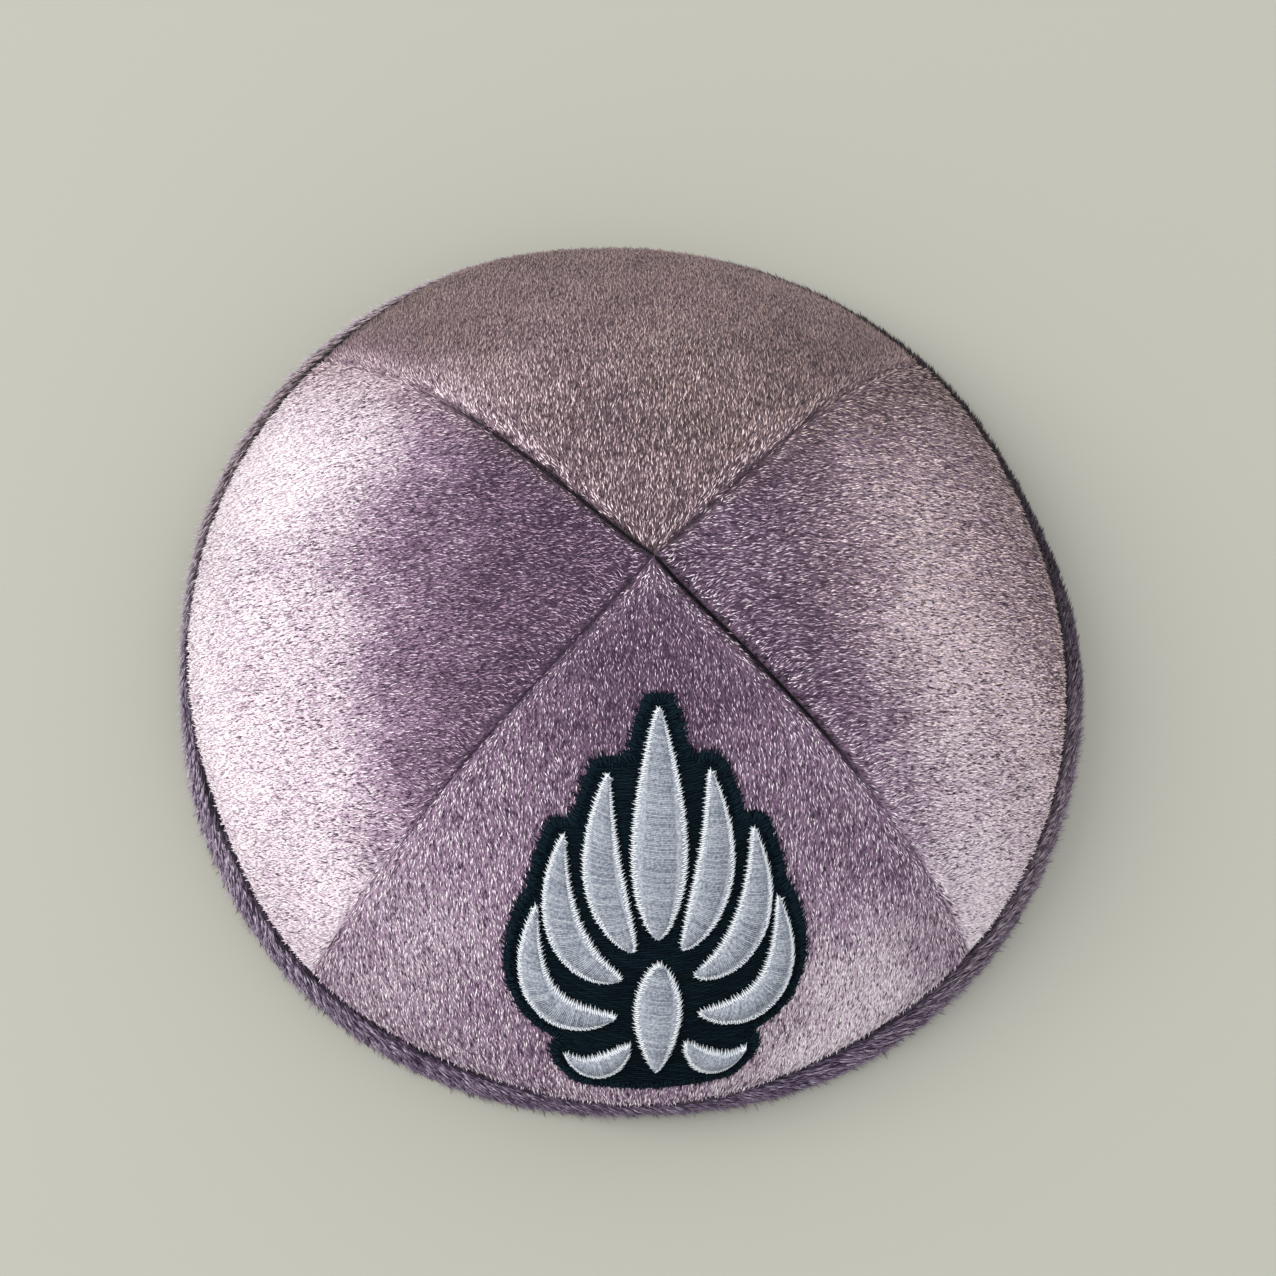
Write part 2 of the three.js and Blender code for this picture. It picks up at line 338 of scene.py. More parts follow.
@dataclass(frozen=True)
class CapForm:
    """The cap's smooth form, on which every piece is laid.

    A place on the crown is given as across, from -1 to 1 between a panel's seams, and
    along, from 0 at the apex to 1 at the panel's lower edge.
    """

    apex: tuple[float, float]
    rim_radius: float = 0.085
    crown_height: float = 0.058
    wall: float = 0.0022
    binding_height: float = 0.007
    panel_lip: float = 0.0013
    panel_swell: float = 0.0003
    seam_sink: float = 0.0014
    seam_roll: float = 0.0042
    peak_width: float = 0.006
    seam_fade: float = 0.85
    seam_fade_length: float = 0.25
    least_crease: float = 0.3
    crease_sharpness: float = 2.5
    unevenness: float = 0.00035
    waves_start: Rise = Rise(0.1, 0.4)
    waves_end: Rise = Rise(0.85, 1.0)

    @property
    def crown_base(self) -> float:
        """The height at which the crown leaves the binding."""
        return self.binding_height + self.panel_lip

    def around(self, angle: Array, radius: Array, height: Array) -> Array:
        """Points round the apex's axis."""
        x, y = self.apex[0] + radius * np.cos(angle), self.apex[1] + radius * np.sin(angle)
        return np.stack(np.broadcast_arrays(x, y, height), axis=-1)

    def rim_share(self, column: str, angle: Array) -> Array:
        """A value of the rim's table at any angle.

        Args:
            column: The table's column, foot or lean.
            angle: Angles in radians, 0 at +X.

        Returns:
            The value at each angle, by a periodic curve through the rows.
        """
        rows = np.array([getattr(row, column) for row in RIM_ROWS])
        place = np.asarray(angle) / (2 * math.pi) * len(rows)
        first = np.floor(place).astype(int)
        near = [rows[(first + step) % len(rows)] for step in (-1, 0, 1, 2)]
        return cubic_between(*near, place - first)

    def rim_point(self, angle: Array, inset: Array, height: Array) -> Array:
        """Places on the leaning rim.

        Args:
            angle: Angles round the rim.
            inset: How far in from the foot's edge.
            height: The height above the table.

        Returns:
            One point for each.
        """
        radius = self.rim_radius * self.rim_share("foot", angle) - inset
        radius = radius - self.rim_share("lean", angle) * height
        return self.around(angle, radius, height)

    def profile(self, column: str, along: Array) -> Array:
        """A column of the crown's profile at any share of the way down.

        Args:
            column: The table's column: height, seam or middle.
            along: Places from the apex, 0, to the lower edge, 1.

        Returns:
            One value for each.
        """
        rows = np.array([getattr(row, column) for row in CROWN_ROWS])
        place = np.clip(along, 0.0, 1.0) * (len(rows) - 1)
        first = np.minimum(place.astype(int), len(rows) - 2)
        near = [rows[np.clip(first + step, 0, len(rows) - 1)] for step in (-1, 0, 1, 2)]
        return cubic_between(*near, place - first)

    def plan_radius(
        self, facing: Facing, across: Array, along: Array, depth: Array | float = 0.0
    ) -> Array:
        """How far from the apex's axis a place on the crown lies.

        Args:
            facing: The panel.
            across: Places between its seams.
            along: Places down it from the apex.
            depth: The depth inside the smooth outer surface.

        Returns:
            One distance for each.
        """
        turn = np.asarray(across) * HALF_PANEL
        corner = (1 / np.cos(turn) - 1) / (math.sqrt(2) - 1)
        middle = self.profile("middle", along)
        share = middle + corner * (self.profile("seam", along) - middle)
        angle = facing.value + turn
        foot = self.rim_radius * self.rim_share("foot", angle) + self.panel_swell
        base = foot - self.rim_share("lean", angle) * self.crown_base
        return share * (base - depth)

    def crown_point(
        self, facing: Facing, across: Array, along: Array, depth: Array | float = 0.0
    ) -> Array:
        """Places on the crown, at a depth inside its smooth outer surface.

        Args:
            facing: The panel.
            across: Places between its seams.
            along: Places down it from the apex.
            depth: The depth inside the surface.

        Returns:
            One point for each.
        """
        radius = self.plan_radius(facing, across, along, depth)
        angle = facing.value + np.asarray(across) * HALF_PANEL
        rise = self.crown_height - self.crown_base - depth
        height = self.crown_base + self.profile("height", along) * rise
        return self.around(angle, radius, height)

    def from_seam(self, facing: Facing, across: Array, along: Array) -> Array:
        """The distance of a place on a panel from its nearer seam."""
        radius = self.plan_radius(facing, across, along)
        return radius * np.sin(HALF_PANEL * (1 - np.abs(across)))

    def seam_tightness(self, facing: Facing, across: Array, along: Array) -> Array:
        """How tightly the nearer seam is drawn at a place, from 0 to 1.

        Args:
            facing: The panel.
            across: Places between its seams.
            along: Places down it from the apex.

        Returns:
            One value for each.
        """
        tight = np.zeros(np.broadcast(across, along).shape)
        for row in SEAM_ROWS:
            side = math.cos(math.radians(row.angle_deg) - facing.value)
            turned = math.sin(math.radians(row.angle_deg) - facing.value)
            if side > 0:
                fade = smooth_step(along, row.reach, row.reach + self.seam_fade_length)
                drawn = row.tight * (1 - self.seam_fade * fade)
                tight = np.where(across * turned > 0, drawn, tight)
        return tight

    def relief(self, facing: Facing, across: Array, along: Array) -> Array:
        """How deep the cloth lies under the smooth form: its seams and soft unevenness.

        Args:
            facing: The panel.
            across: Places between its seams.
            along: Places down it from the apex.

        Returns:
            One depth for each.
        """
        radius = self.plan_radius(facing, across, along)
        near = 1 - np.clip(self.from_seam(facing, across, along) / self.seam_roll, 0.0, 1.0)
        drawn = self.seam_tightness(facing, across, along)
        crease = near**self.crease_sharpness * (self.least_crease + (1 - self.least_crease) * drawn)
        sunk = self.seam_sink * crease * smooth_step(radius, 0.0, self.peak_width)
        wave = self.unevenness * self.waves_start.at(along) * (1 - self.waves_end.at(along))
        for row in WAVE_ROWS:
            wave = wave * np.sin(row.across * across + row.along * along + row.facing * facing.value)
        return sunk + wave

    def cloth_point(self, facing: Facing, across: Array, along: Array) -> Array:
        """Places on a panel's velvet, with its relief."""
        return self.crown_point(facing, across, along, self.relief(facing, across, along))

    def cloth_frame(self, facing: Facing, across: Array, along: Array) -> tuple[Array, Array]:
        """The velvet's outward normal and its downhill direction.

        Args:
            facing: The panel.
            across: Places between its seams.
            along: Places from the apex to the lower edge.

        Returns:
            The unit normals, and the unit directions down the panel's middle line as they
            lie in the cloth.
        """
        step = 2e-3
        inner = np.clip(across, -1 + step, 1 - step)
        lower = np.clip(along, step, 1 - step)
        aside = self.cloth_point(facing, inner + step, lower)
        aside = aside - self.cloth_point(facing, inner - step, lower)
        down = self.cloth_point(facing, inner, lower + step)
        down = down - self.cloth_point(facing, inner, lower - step)
        normal = unit(np.cross(down, aside))
        axis = np.array([math.cos(facing.value), math.sin(facing.value), 0.0])
        nap = axis - normal * np.sum(normal * axis, axis=-1, keepdims=True)
        return normal, unit(nap)


class MeshParts:
    """Vertices, faces, values and maps gathered for one mesh."""

    def __init__(self, values: Sequence[str] = ()) -> None:
        """Start empty, with the names of the values that each vertex carries.

        Args:
            values: The names.
        """
        self.value_names = tuple(values)
        self.points: list[Array] = []
        self.corners: list[Array] = []
        self.sizes: list[Array] = []
        self.slots: list[Array] = []
        self.values: dict[str, list[Array]] = {name: [] for name in values}
        self.maps: dict[str, list[Array]] = {NAP_MAP: [], BAKE_MAP: []}
        self.count = 0

    def add(
        self, points: Array, faces: Array, nap: Array | None = None, bake: Array | None = None,
        slot: int = 0, **values: Array | float,
    ) -> None:
        """Add vertices and the faces between them.

        Args:
            points: The vertices, one in each row.
            faces: The faces' corners as rows of indices into points, all of one length.
            nap: The vertices' places in the map that the pile's patterns follow.
            bake: Their places in the map that pictures of the finish are drawn on.
            slot: The faces' material slot.
            **values: Each named value, for all vertices or one for each.
        """
        total = len(points)
        self.points.append(np.asarray(points, dtype=float))
        self.add_faces(faces, self.count, slot)
        for name, place in ((NAP_MAP, nap), (BAKE_MAP, bake)):
            self.maps[name].append(np.zeros((total, 2)) if place is None else place)
        for name in self.value_names:
            self.values[name].append(np.broadcast_to(values.get(name, 0.0), (total,)))
        self.count += total

    def add_faces(self, faces: Array, first: int, slot: int = 0) -> None:
        """Add faces between vertices of this mesh.

        Args:
            faces: Their corners as rows of indices, all of one length.
            first: The vertex that the indices count from.
            slot: Their material slot.
        """
        self.corners.append((faces + first).ravel())
        self.sizes.append(np.full(len(faces), faces.shape[1]))
        self.slots.append(np.full(len(faces), slot))

    def build(self, name: str, materials: Sequence[Material]) -> Piece:
        """Make the object.

        Args:
            name: The piece's name.
            materials: Its material slots, in order.

        Returns:
            The new object, in the scene.
        """
        points = np.concatenate(self.points)
        corners = np.concatenate(self.corners).astype(np.int32)
        sizes = np.concatenate(self.sizes).astype(np.int32)
        mesh = bpy.data.meshes.new(name)
        mesh.vertices.add(len(points))
        mesh.vertices.foreach_set("co", points.ravel())
        mesh.loops.add(len(corners))
        mesh.loops.foreach_set("vertex_index", corners)
        mesh.polygons.add(len(sizes))
        mesh.polygons.foreach_set("loop_start", np.cumsum(sizes) - sizes)
        mesh.polygons.foreach_set("loop_total", sizes)
        mesh.polygons.foreach_set("material_index", np.concatenate(self.slots).astype(np.int32))
        mesh.polygons.foreach_set("use_smooth", np.ones(len(sizes), dtype=bool))
        mesh.update(calc_edges=True)
        for map_name, places in self.maps.items():
            layer = mesh.uv_layers.new(name=map_name)
            layer.data.foreach_set("uv", np.concatenate(places)[corners].astype(np.float32).ravel())
        for value_name, parts in self.values.items():
            layer = mesh.attributes.new(value_name, "FLOAT", "POINT")
            layer.data.foreach_set("value", np.concatenate(parts).astype(np.float32))
        for material in materials:
            mesh.materials.append(material)
        mesh.validate()
        piece = bpy.data.objects.new(name, mesh)
        bpy.context.scene.collection.objects.link(piece)
        return piece


def grid_faces(rows: int, columns: int) -> Array:
    """Four-cornered faces between the rows and columns of a grid of points."""
    here = np.arange(rows - 1)[:, None] * columns + np.arange(columns - 1)[None, :]
    return np.stack([here, here + 1, here + columns + 1, here + columns], axis=-1).reshape(-1, 4)


def ring_faces(rings: int, sides: int) -> Array:
    """Four-cornered faces along a tube of rings, each closed on itself.

    Args:
        rings: How many rings.
        sides: How many points each has.

    Returns:
        The faces, as rows of indices.
    """
    ring = np.arange(rings - 1)[:, None]
    side = np.arange(sides)[None, :]
    after = (side + 1) % sides
    here = ring * sides
    corners = [here + side, here + after, here + sides + after, here + sides + side]
    return np.stack(corners, axis=-1).reshape(-1, 4)


def bake_cells(total: int, columns: int, start: float, band: float, inside: Array) -> Array:
    """Small cells of the bake map, in rows, with one for each hair or thread.

    Args:
        total: How many cells.
        columns: How many lie in a row.
        start: Where their band of the map begins.
        band: The band's height.
        inside: The vertices' places in a cell, as shares of its sides.

    Returns:
        The vertices' places in the map, cell by cell.
    """
    rows = math.ceil(total / columns)
    index = np.arange(total)
    cell = np.stack([(index % columns) / columns, start + band * (index // columns) / rows], axis=1)
    return (cell[:, None, :] + inside * np.array([1 / columns, band / rows])).reshape(-1, 2)


@dataclass(frozen=True)
class PileBed:
    """Where hairs stand and how they look, with a row or value for each.

    places are their roots in the nap map. tone is how pale they are, warm how brown and
    shade how much light reaches them, painted into their colour, from 0 to 1. wild is how
    much more than usual they stray.
    """

    roots: Array
    normals: Array
    naps: Array
    places: Array
    tone: Array
    warm: Array | float = 0.0
    shade: Array | float = 1.0
    wild: Array | float = 0.0


@dataclass(frozen=True)
class Tufting:
    """How hairs gather in tufts: a crest wave across the nap, bent and broken by chance.

    swirl and broken are cells of the cloud to a tuft, down and across the nap, and where
    the reading starts.
    """

    swirl: tuple[float, float] = (1.1, 0.6)
    swirl_start: tuple[float, float] = (60.0, 60.0)
    broken: tuple[float, float] = (0.8, 0.9)
    broken_start: tuple[float, float] = (200.0, 90.0)
    swirl_bend: float = 0.55
    broken_bend: float = 0.6

    def waves(self, cloud: Cloud, down: Array, aside: Array) -> tuple[Array, Array]:
        """The swirl and the crest at places given in tufts.

        Args:
            cloud: The soft chance that bends them.
            down: Places down the nap.
            aside: Places across it.

        Returns:
            One value of each kind for each place, from -1 to 1.
        """
        swirl, broken = (
            cloud.at(down * scale[0] + start[0], aside * scale[1] + start[1])
            for scale, start in ((self.swirl, self.swirl_start), (self.broken, self.broken_start))
        )
        bent = aside + self.swirl_bend * swirl + self.broken_bend * broken
        return swirl, np.sin(2 * math.pi * bent)


@dataclass(frozen=True)
class Ticks:
    """How far single hairs are paler or deeper than the pile round them."""

    by_crest: float = 0.55
    by_chance: float = 0.6
    pale: float = 0.58
    pale_when_bright: float = 0.02
    dark: float = 1.15
    dark_when_bright: float = 0.55
    dark_when_palest: float = -0.9
    bright: Rise = Rise(0.35, 0.9)
    palest: Rise = Rise(0.7, 0.95)

    def over(self, tone: Array, crest: Array, contrast: Array | float, chance: Array) -> Array:
        """The hairs' own tones.

        Args:
            tone: The tone of the pile round each.
            crest: Where each stands on its tuft, from -1 to 1.
            contrast: How much the hairs differ.
            chance: A value of its own for each, from -1 to 1.

        Returns:
            One tone for each.
        """
        tick = self.by_crest * crest + self.by_chance * chance
        bright = self.bright.at(tone)
        paler = self.pale + self.pale_when_bright * bright
        darker = self.dark + self.dark_when_bright * bright
        darker = darker + self.dark_when_palest * self.palest.at(tone)
        return tone + contrast * tick * np.where(tick > 0, paler, darker)


@dataclass(frozen=True)
class Pile:
    """The hairs of a velvet: how long, how wide, and how they lie."""

    length: float | Array = 0.0015
    width: float = 0.00017
    lift_deg: float | Array = 24.0
    unruly_deg: float = 14.0
    rooted: float = 0.00015
    belly: float = 0.5
    tuft_length: float = 0.0015
    tuft_width: float = 0.0005
    contrast: float | Array = 0.45
    stray_by_swirl: float = 1.3
    stray_by_chance: float = 0.6
    lift_when_wild: float = 0.5
    lift_on_crest: float = 0.35
    lift_range: tuple[float, float] = (0.7, 1.3)
    length_range: tuple[float, float] = (0.6, 1.25)
    width_range: tuple[float, float] = (0.7, 1.3)
    # Painted shade along each hair: darkest at its root, palest at its tip.
    light_up_hair: tuple[float, ...] = (0.1, 0.8, 0.8, 1.0)
    tufting: Tufting = Tufting()
    ticks: Ticks = Ticks()

    def grow(self, parts: MeshParts, bed: PileBed, rng: Chance, bake_from: float = 0.5) -> None:
        """Add one thin closed spindle for each root.

        Args:
            parts: The mesh that the hairs join.
            bed: Where they stand and how they look.
            rng: The source of chance.
            bake_from: Where the hairs' band of the bake map begins.
        """
        total = len(bed.roots)
        cloud = Cloud(rng)
        down, aside = bed.places[:, 1] / self.tuft_length, bed.places[:, 0] / self.tuft_width
        swirl, crest = self.tufting.waves(cloud, down, aside)
        stray = np.radians(self.unruly_deg) * (1 + bed.wild)
        stray = stray * (self.stray_by_swirl * swirl + self.stray_by_chance * rng.standard_normal(total))
        lift = self.lift_deg * (1 + self.lift_when_wild * bed.wild) * rng.uniform(*self.lift_range, total)
        lift = np.radians(lift) * (1 + self.lift_on_crest * crest)
        tone = self.ticks.over(bed.tone, crest, self.contrast, rng.uniform(-1, 1, total))
        side = unit(np.cross(bed.normals, bed.naps))
        lying = bed.naps * np.cos(stray)[:, None] + side * np.sin(stray)[:, None]
        heading = lying * np.cos(lift)[:, None] + bed.normals * np.sin(lift)[:, None]
        reach = (self.length * rng.uniform(*self.length_range, total))[:, None] * heading
        half = (self.width / 2 * rng.uniform(*self.width_range, total))[:, None]
        points = self.spindles(bed.roots - bed.normals * self.rooted, reach, half, heading, bed.normals)
        pattern = np.array([[0, 2, 1], [3, 1, 2], [0, 3, 2], [0, 1, 3]])
        # Painted light and shade, carried as tip: each hair darkens towards its root and with its bed's
        # shade.
        light = np.broadcast_to(bed.shade, total)[:, None] * np.array(self.light_up_hair)
        parts.add(
            points.reshape(-1, 3), (np.arange(total)[:, None, None] * 4 + pattern).reshape(-1, 3),
            nap=np.repeat(bed.places, 4, axis=0), bake=self.bake_places(total, bake_from),
            tone=np.repeat(tone, 4), warm=np.repeat(np.broadcast_to(bed.warm, total), 4),
            tip=light.ravel(),
        )

    def spindles(self, base: Array, reach: Array, half: Array, heading: Array, normals: Array) -> Array:
        """The four corners of each hair: its root, its two sides and its tip.

        Args:
            base: The roots, a little under the cloth.
            reach: From each root to its tip.
            half: Half of each hair's width.
            heading: The hairs' directions.
            normals: The cloth's outward normals.

        Returns:
            The corners, none of them below the table.
        """
        beside = unit(np.cross(heading, normals))
        above = unit(np.cross(beside, heading))
        middle = base + reach * self.belly + above * half
        points = np.stack([base, middle - beside * half, middle + beside * half, base + reach], axis=1)
        points[..., 2] = np.maximum(points[..., 2], 0.0)
        return points

    @staticmethod
    def bake_places(total: int, start: float) -> Array:
        """A small cell of the bake map for each hair, in rows from start up to 1."""
        inside = np.array([[0.15, 0.15], [0.85, 0.15], [0.5, 0.2], [0.5, 0.85]])
        return bake_cells(total, math.ceil(math.sqrt(total / (1 - start))), start, 1 - start, inside)


def spread_roots(areas: Array, total: int, rng: Chance) -> tuple[Array, Array, Array, Array]:
    """Places spread evenly by area over the cells of a grid.

    Args:
        areas: The cells' areas, by row and column.
        total: How many places.
        rng: The source of chance.

    Returns:
        Each place's row and column, and its shares of the way over that cell.
    """
    reached = np.cumsum(areas.ravel())
    wanted = (np.arange(total) + rng.uniform(0, 1, total)) / total * reached[-1]
    cell = np.minimum(np.searchsorted(reached, wanted), areas.size - 1)
    row, column = np.divmod(cell, areas.shape[1])
    return row, column, rng.uniform(0, 1, total), rng.uniform(0, 1, total)


def cell_areas(points: Array) -> Array:
    """The area of each cell of a grid of points, by its two triangles.

    Args:
        points: The points, by row and column.

    Returns:
        One area for each cell.
    """
    a, b = points[:-1, :-1], points[:-1, 1:]
    c, d = points[1:, 1:], points[1:, :-1]
    first = np.linalg.norm(np.cross(b - a, c - a), axis=-1)
    return (first + np.linalg.norm(np.cross(c - a, d - a), axis=-1)) / 2


class NodeTree:
    """A material's nodes, each added and joined in a line or two."""

    def __init__(self, name: str) -> None:
        """Make the material with its shader and output.

        Args:
            name: The material's name.
        """
        self.material = bpy.data.materials.new(name)
        self.material.use_nodes = True
        self.tree = self.material.node_tree
        self.tree.nodes.clear()
        self.shader = self.node("BsdfPrincipled", {})
        self.node("OutputMaterial", {"Surface": self.shader.outputs["BSDF"]})

    def feed(self, node: bpy.types.Node, inputs: dict[str | int, object]) -> None:
        """Link sockets to a node's inputs, or set the inputs' own values.

        Args:
            node: The node.
            inputs: A socket or a value for each, by its name or number.
        """
        for name, value in inputs.items():
            if isinstance(value, Socket):
                self.tree.links.new(value, node.inputs[name])
            else:
                node.inputs[name].default_value = value

    def node(self, kind: str, inputs: dict[str | int, object], **settings: str) -> bpy.types.Node:
        """Add a node.

        Args:
            kind: Its kind, without the words that every kind begins with.
            inputs: A socket or a value for each input, by its name or number.
            **settings: Its other settings.

        Returns:
            The node.
        """
        node = self.tree.nodes.new(f"ShaderNode{kind}")
        for name, value in settings.items():
            setattr(node, name, value)
        self.feed(node, inputs)
        return node

    def set(self, inputs: dict[str | int, object]) -> None:
        """Link or set the shader's own inputs."""
        self.feed(self.shader, inputs)

    def attribute(self, name: str) -> Socket:
        """The value that the mesh's vertices carry under a name."""
        return self.node("Attribute", {}, attribute_name=name).outputs["Fac"]

    def place(self, scale: Place = (1.0, 1.0, 1.0), map_name: str | None = None) -> Socket:
        """A scaled place: in the object's own space, or in a named map.

        Args:
            scale: The scale along each axis.
            map_name: The map's name.

        Returns:
            The place's socket.
        """
        if map_name is None:
            source = self.node("TexCoord", {}).outputs["Object"]
        else:
            source = self.node("UVMap", {}, uv_map=map_name).outputs["UV"]
        return self.node("Mapping", {"Vector": source, "Scale": scale}).outputs["Vector"]

    def noise(self, vector: Socket, scale: float, detail: float = 2.0) -> Socket:
        """Soft noise from 0 to 1."""
        inputs = {"Vector": vector, "Scale": scale, "Detail": detail}
        return self.node("TexNoise", inputs).outputs["Fac"]

    def math(self, operation: str, first: object, second: object = 0.0) -> Socket:
        """A sum, product or other operation on two values."""
        return self.node("Math", {0: first, 1: second}, operation=operation).outputs["Value"]

    def about(self, value: Socket, strength: float) -> Socket:
        """A value from 0 to 1 turned into one around 0, of a given strength."""
        return self.math("MULTIPLY", self.math("SUBTRACT", value, 0.5), strength)

    def ramp(self, value: Socket, stops: Sequence[tuple[float, Color]]) -> Socket:
        """A colour chosen by a value, between named stops.

        Args:
            value: The value.
            stops: The places of the stops, from 0 to 1, and their colours.

        Returns:
            The colour's socket.
        """
        node = self.node("ValToRGB", {"Fac": value})
        elements = node.color_ramp.elements
        while len(elements) < len(stops):
            elements.new(0.5)
        for element, (place, color) in zip(elements, stops):
            element.position = place
            element.color = (*color, 1.0)
        return node.outputs["Color"]

    def shade(self, color: Socket, share: Socket) -> Socket:
        """A colour multiplied by a value."""
        inputs = {0: color, "Scale": share}
        return self.node("VectorMath", inputs, operation="SCALE").outputs["Vector"]

    def mix(self, share: Socket, first: Socket, second: Socket) -> Socket:
        """Two colours mixed by a share of the second.

        Args:
            share: The share.
            first: The colour at share 0.
            second: The colour at share 1.

        Returns:
            The colour's socket.
        """
        node = self.node("Mix", {"Factor": share}, data_type="RGBA")
        numbers = [number for number, socket in enumerate(node.inputs) if socket.type == "RGBA"]
        self.feed(node, dict(zip(numbers, (first, second))))
        return next(socket for socket in node.outputs if socket.type == "RGBA")

    def bump(self, height: Socket, distance: float, strength: float = 1.0) -> None:
        """Raise and lower the surface by a value, over a real distance."""
        node = self.node("Bump", {"Height": height, "Distance": distance, "Strength": strength})
        self.set({"Normal": node.outputs["Normal"]})


@dataclass(frozen=True)
class VelvetFinish:
    """Short pile: deep where one looks into it, pale where its hairs lie in the light, all as
    painted sheen and shade in the tone that it is given.

    The first three colours are the pile's own, and the brown ones those of its warm side.
    """

    name: str
    deep: Color
    mid: Color
    pale: Color
    brown_deep: Color = (0.05, 0.034, 0.034)
    brown_mid: Color = (0.3, 0.212, 0.2)
    brown_pale: Color = (0.78, 0.605, 0.6)
    root_shade: float = 0.2
    streak_scale: Place = (2200.0, 420.0, 1.0)
    streak_strength: float = 0.5
    streak_depth: float = 0.0003
    streak_bump: float = 0.8
    mottle_scale: float = 95.0
    mottle_strength: float = 0.3
    detail: float = 3.0
    roughness: float = 0.62
    gloss: float = 0.06
    sheen: float = 0.03
    sheen_roughness: float = 0.45
    sheen_tint: tuple[float, float, float, float] = (0.95, 0.86, 0.93, 1.0)

    def material(self) -> Material:
        """The finish as nodes.

        Returns:
            The material.
        """
        tree = NodeTree(self.name)
        streaks = tree.noise(tree.place(self.streak_scale, NAP_MAP), 1.0, self.detail)
        mottle = tree.noise(tree.place(), self.mottle_scale, self.detail)
        value = tree.math("ADD", tree.attribute("tone"), tree.about(streaks, self.streak_strength))
        value = tree.math("ADD", value, tree.about(mottle, self.mottle_strength))
        own, brown = (
            tree.ramp(value, tuple(zip((0.0, 0.5, 1.0), colors)))
            for colors in (
                (self.deep, self.mid, self.pale),
                (self.brown_deep, self.brown_mid, self.brown_pale),
            )
        )
        color = tree.mix(tree.attribute("warm"), own, brown)
        # Painted shade: tip darkens the colour towards the hair roots, under the hairs and in seams and
        # creases.
        lit = tree.math("MULTIPLY", tree.attribute("tip"), 1 - self.root_shade)
        tree.bump(streaks, self.streak_depth, self.streak_bump)
        tree.set({
            "Base Color": tree.shade(color, tree.math("ADD", lit, self.root_shade)),
            "Roughness": self.roughness,
            "Specular IOR Level": self.gloss,
            "Sheen Weight": self.sheen,
            "Sheen Roughness": self.sheen_roughness,
            "Sheen Tint": self.sheen_tint,
        })
        return tree.material


@dataclass(frozen=True)
class BackingFinish:
    """The plain woven back of the velvet, inside the cap."""

    color: Color = (0.17, 0.12, 0.17)
    darkest: float = 0.55
    lightest: float = 1.5
    threads_per_metre: float = 1400.0
    weave_share: float = 0.25
    weave_strength: float = 0.5
    weave_depth: float = 0.00012
    cloud_scale: float = 130.0
    cloud_detail: float = 4.0
    stops: tuple[float, float] = (0.15, 0.85)
    roughness: float = 0.9

    def material(self) -> Material:
        """The finish as nodes.

        Returns:
            The material.
        """
        tree = NodeTree("woven_backing")
        split = tree.node("SeparateXYZ", {"Vector": tree.place(map_name=NAP_MAP)})
        turn = 2 * math.pi * self.threads_per_metre
        warp, weft = (tree.math("SINE", tree.math("MULTIPLY", split.outputs[axis], turn)) for axis in "XY")
        weave = tree.math("MULTIPLY", tree.math("MULTIPLY", warp, weft), self.weave_share)
        weave = tree.math("ADD", weave, 0.5)
        cloudy = tree.noise(tree.place(), self.cloud_scale, self.cloud_detail)
        value = tree.math("ADD", tree.about(weave, self.weave_strength), cloudy)
        shades = (tuple(share * part for part in self.color) for share in (self.darkest, self.lightest))
        tree.bump(weave, self.weave_depth)
        color = tree.ramp(value, tuple(zip(self.stops, shades)))
        tree.set({"Base Color": color, "Roughness": self.roughness})
        return tree.material


@dataclass(frozen=True)
class ThreadFinish:
    """Embroidery thread: a colour that varies from stitch to stitch, with a silky gloss."""

    name: str
    dark: Color
    light: Color
    roughness: float
    gloss: float
    speckle_scale: float = 2400.0
    speckle_detail: float = 3.0
    speckle_strength: float = 1.1
    fibre_scale: float = 5200.0
    fibre_roughness: float = 0.2
    fibre_depth: float = 0.00004
    fibre_bump: float = 0.7

    def material(self) -> Material:
        """The finish as nodes.

        Returns:
            The material.
        """
        tree = NodeTree(self.name)
        speckle = tree.noise(tree.place(), self.speckle_scale, self.speckle_detail)
        value = tree.math("ADD", tree.attribute("strand"), tree.about(speckle, self.speckle_strength))
        color = tree.ramp(value, ((0.0, self.dark), (1.0, self.light)))
        fibres = tree.noise(tree.place(), self.fibre_scale)
        tree.bump(fibres, self.fibre_depth, self.fibre_bump)
        rough = tree.math("ADD", tree.about(fibres, self.fibre_roughness), self.roughness)
        tree.set({"Base Color": color, "Roughness": rough, "Specular IOR Level": self.gloss})
        return tree.material


@dataclass(frozen=True)
class FloorFinish:
    """A plain pale matt surface."""

    color: tuple[float, float, float, float] = (0.209, 0.205, 0.176, 1.0)
    roughness: float = 0.85
    gloss: float = 0.2

    def material(self) -> Material:
        """The finish as nodes.

        Returns:
            The material.
        """
        tree = NodeTree("pale_floor")
        tree.set({"Base Color": self.color, "Roughness": self.roughness, "Specular IOR Level": self.gloss})
        return tree.material


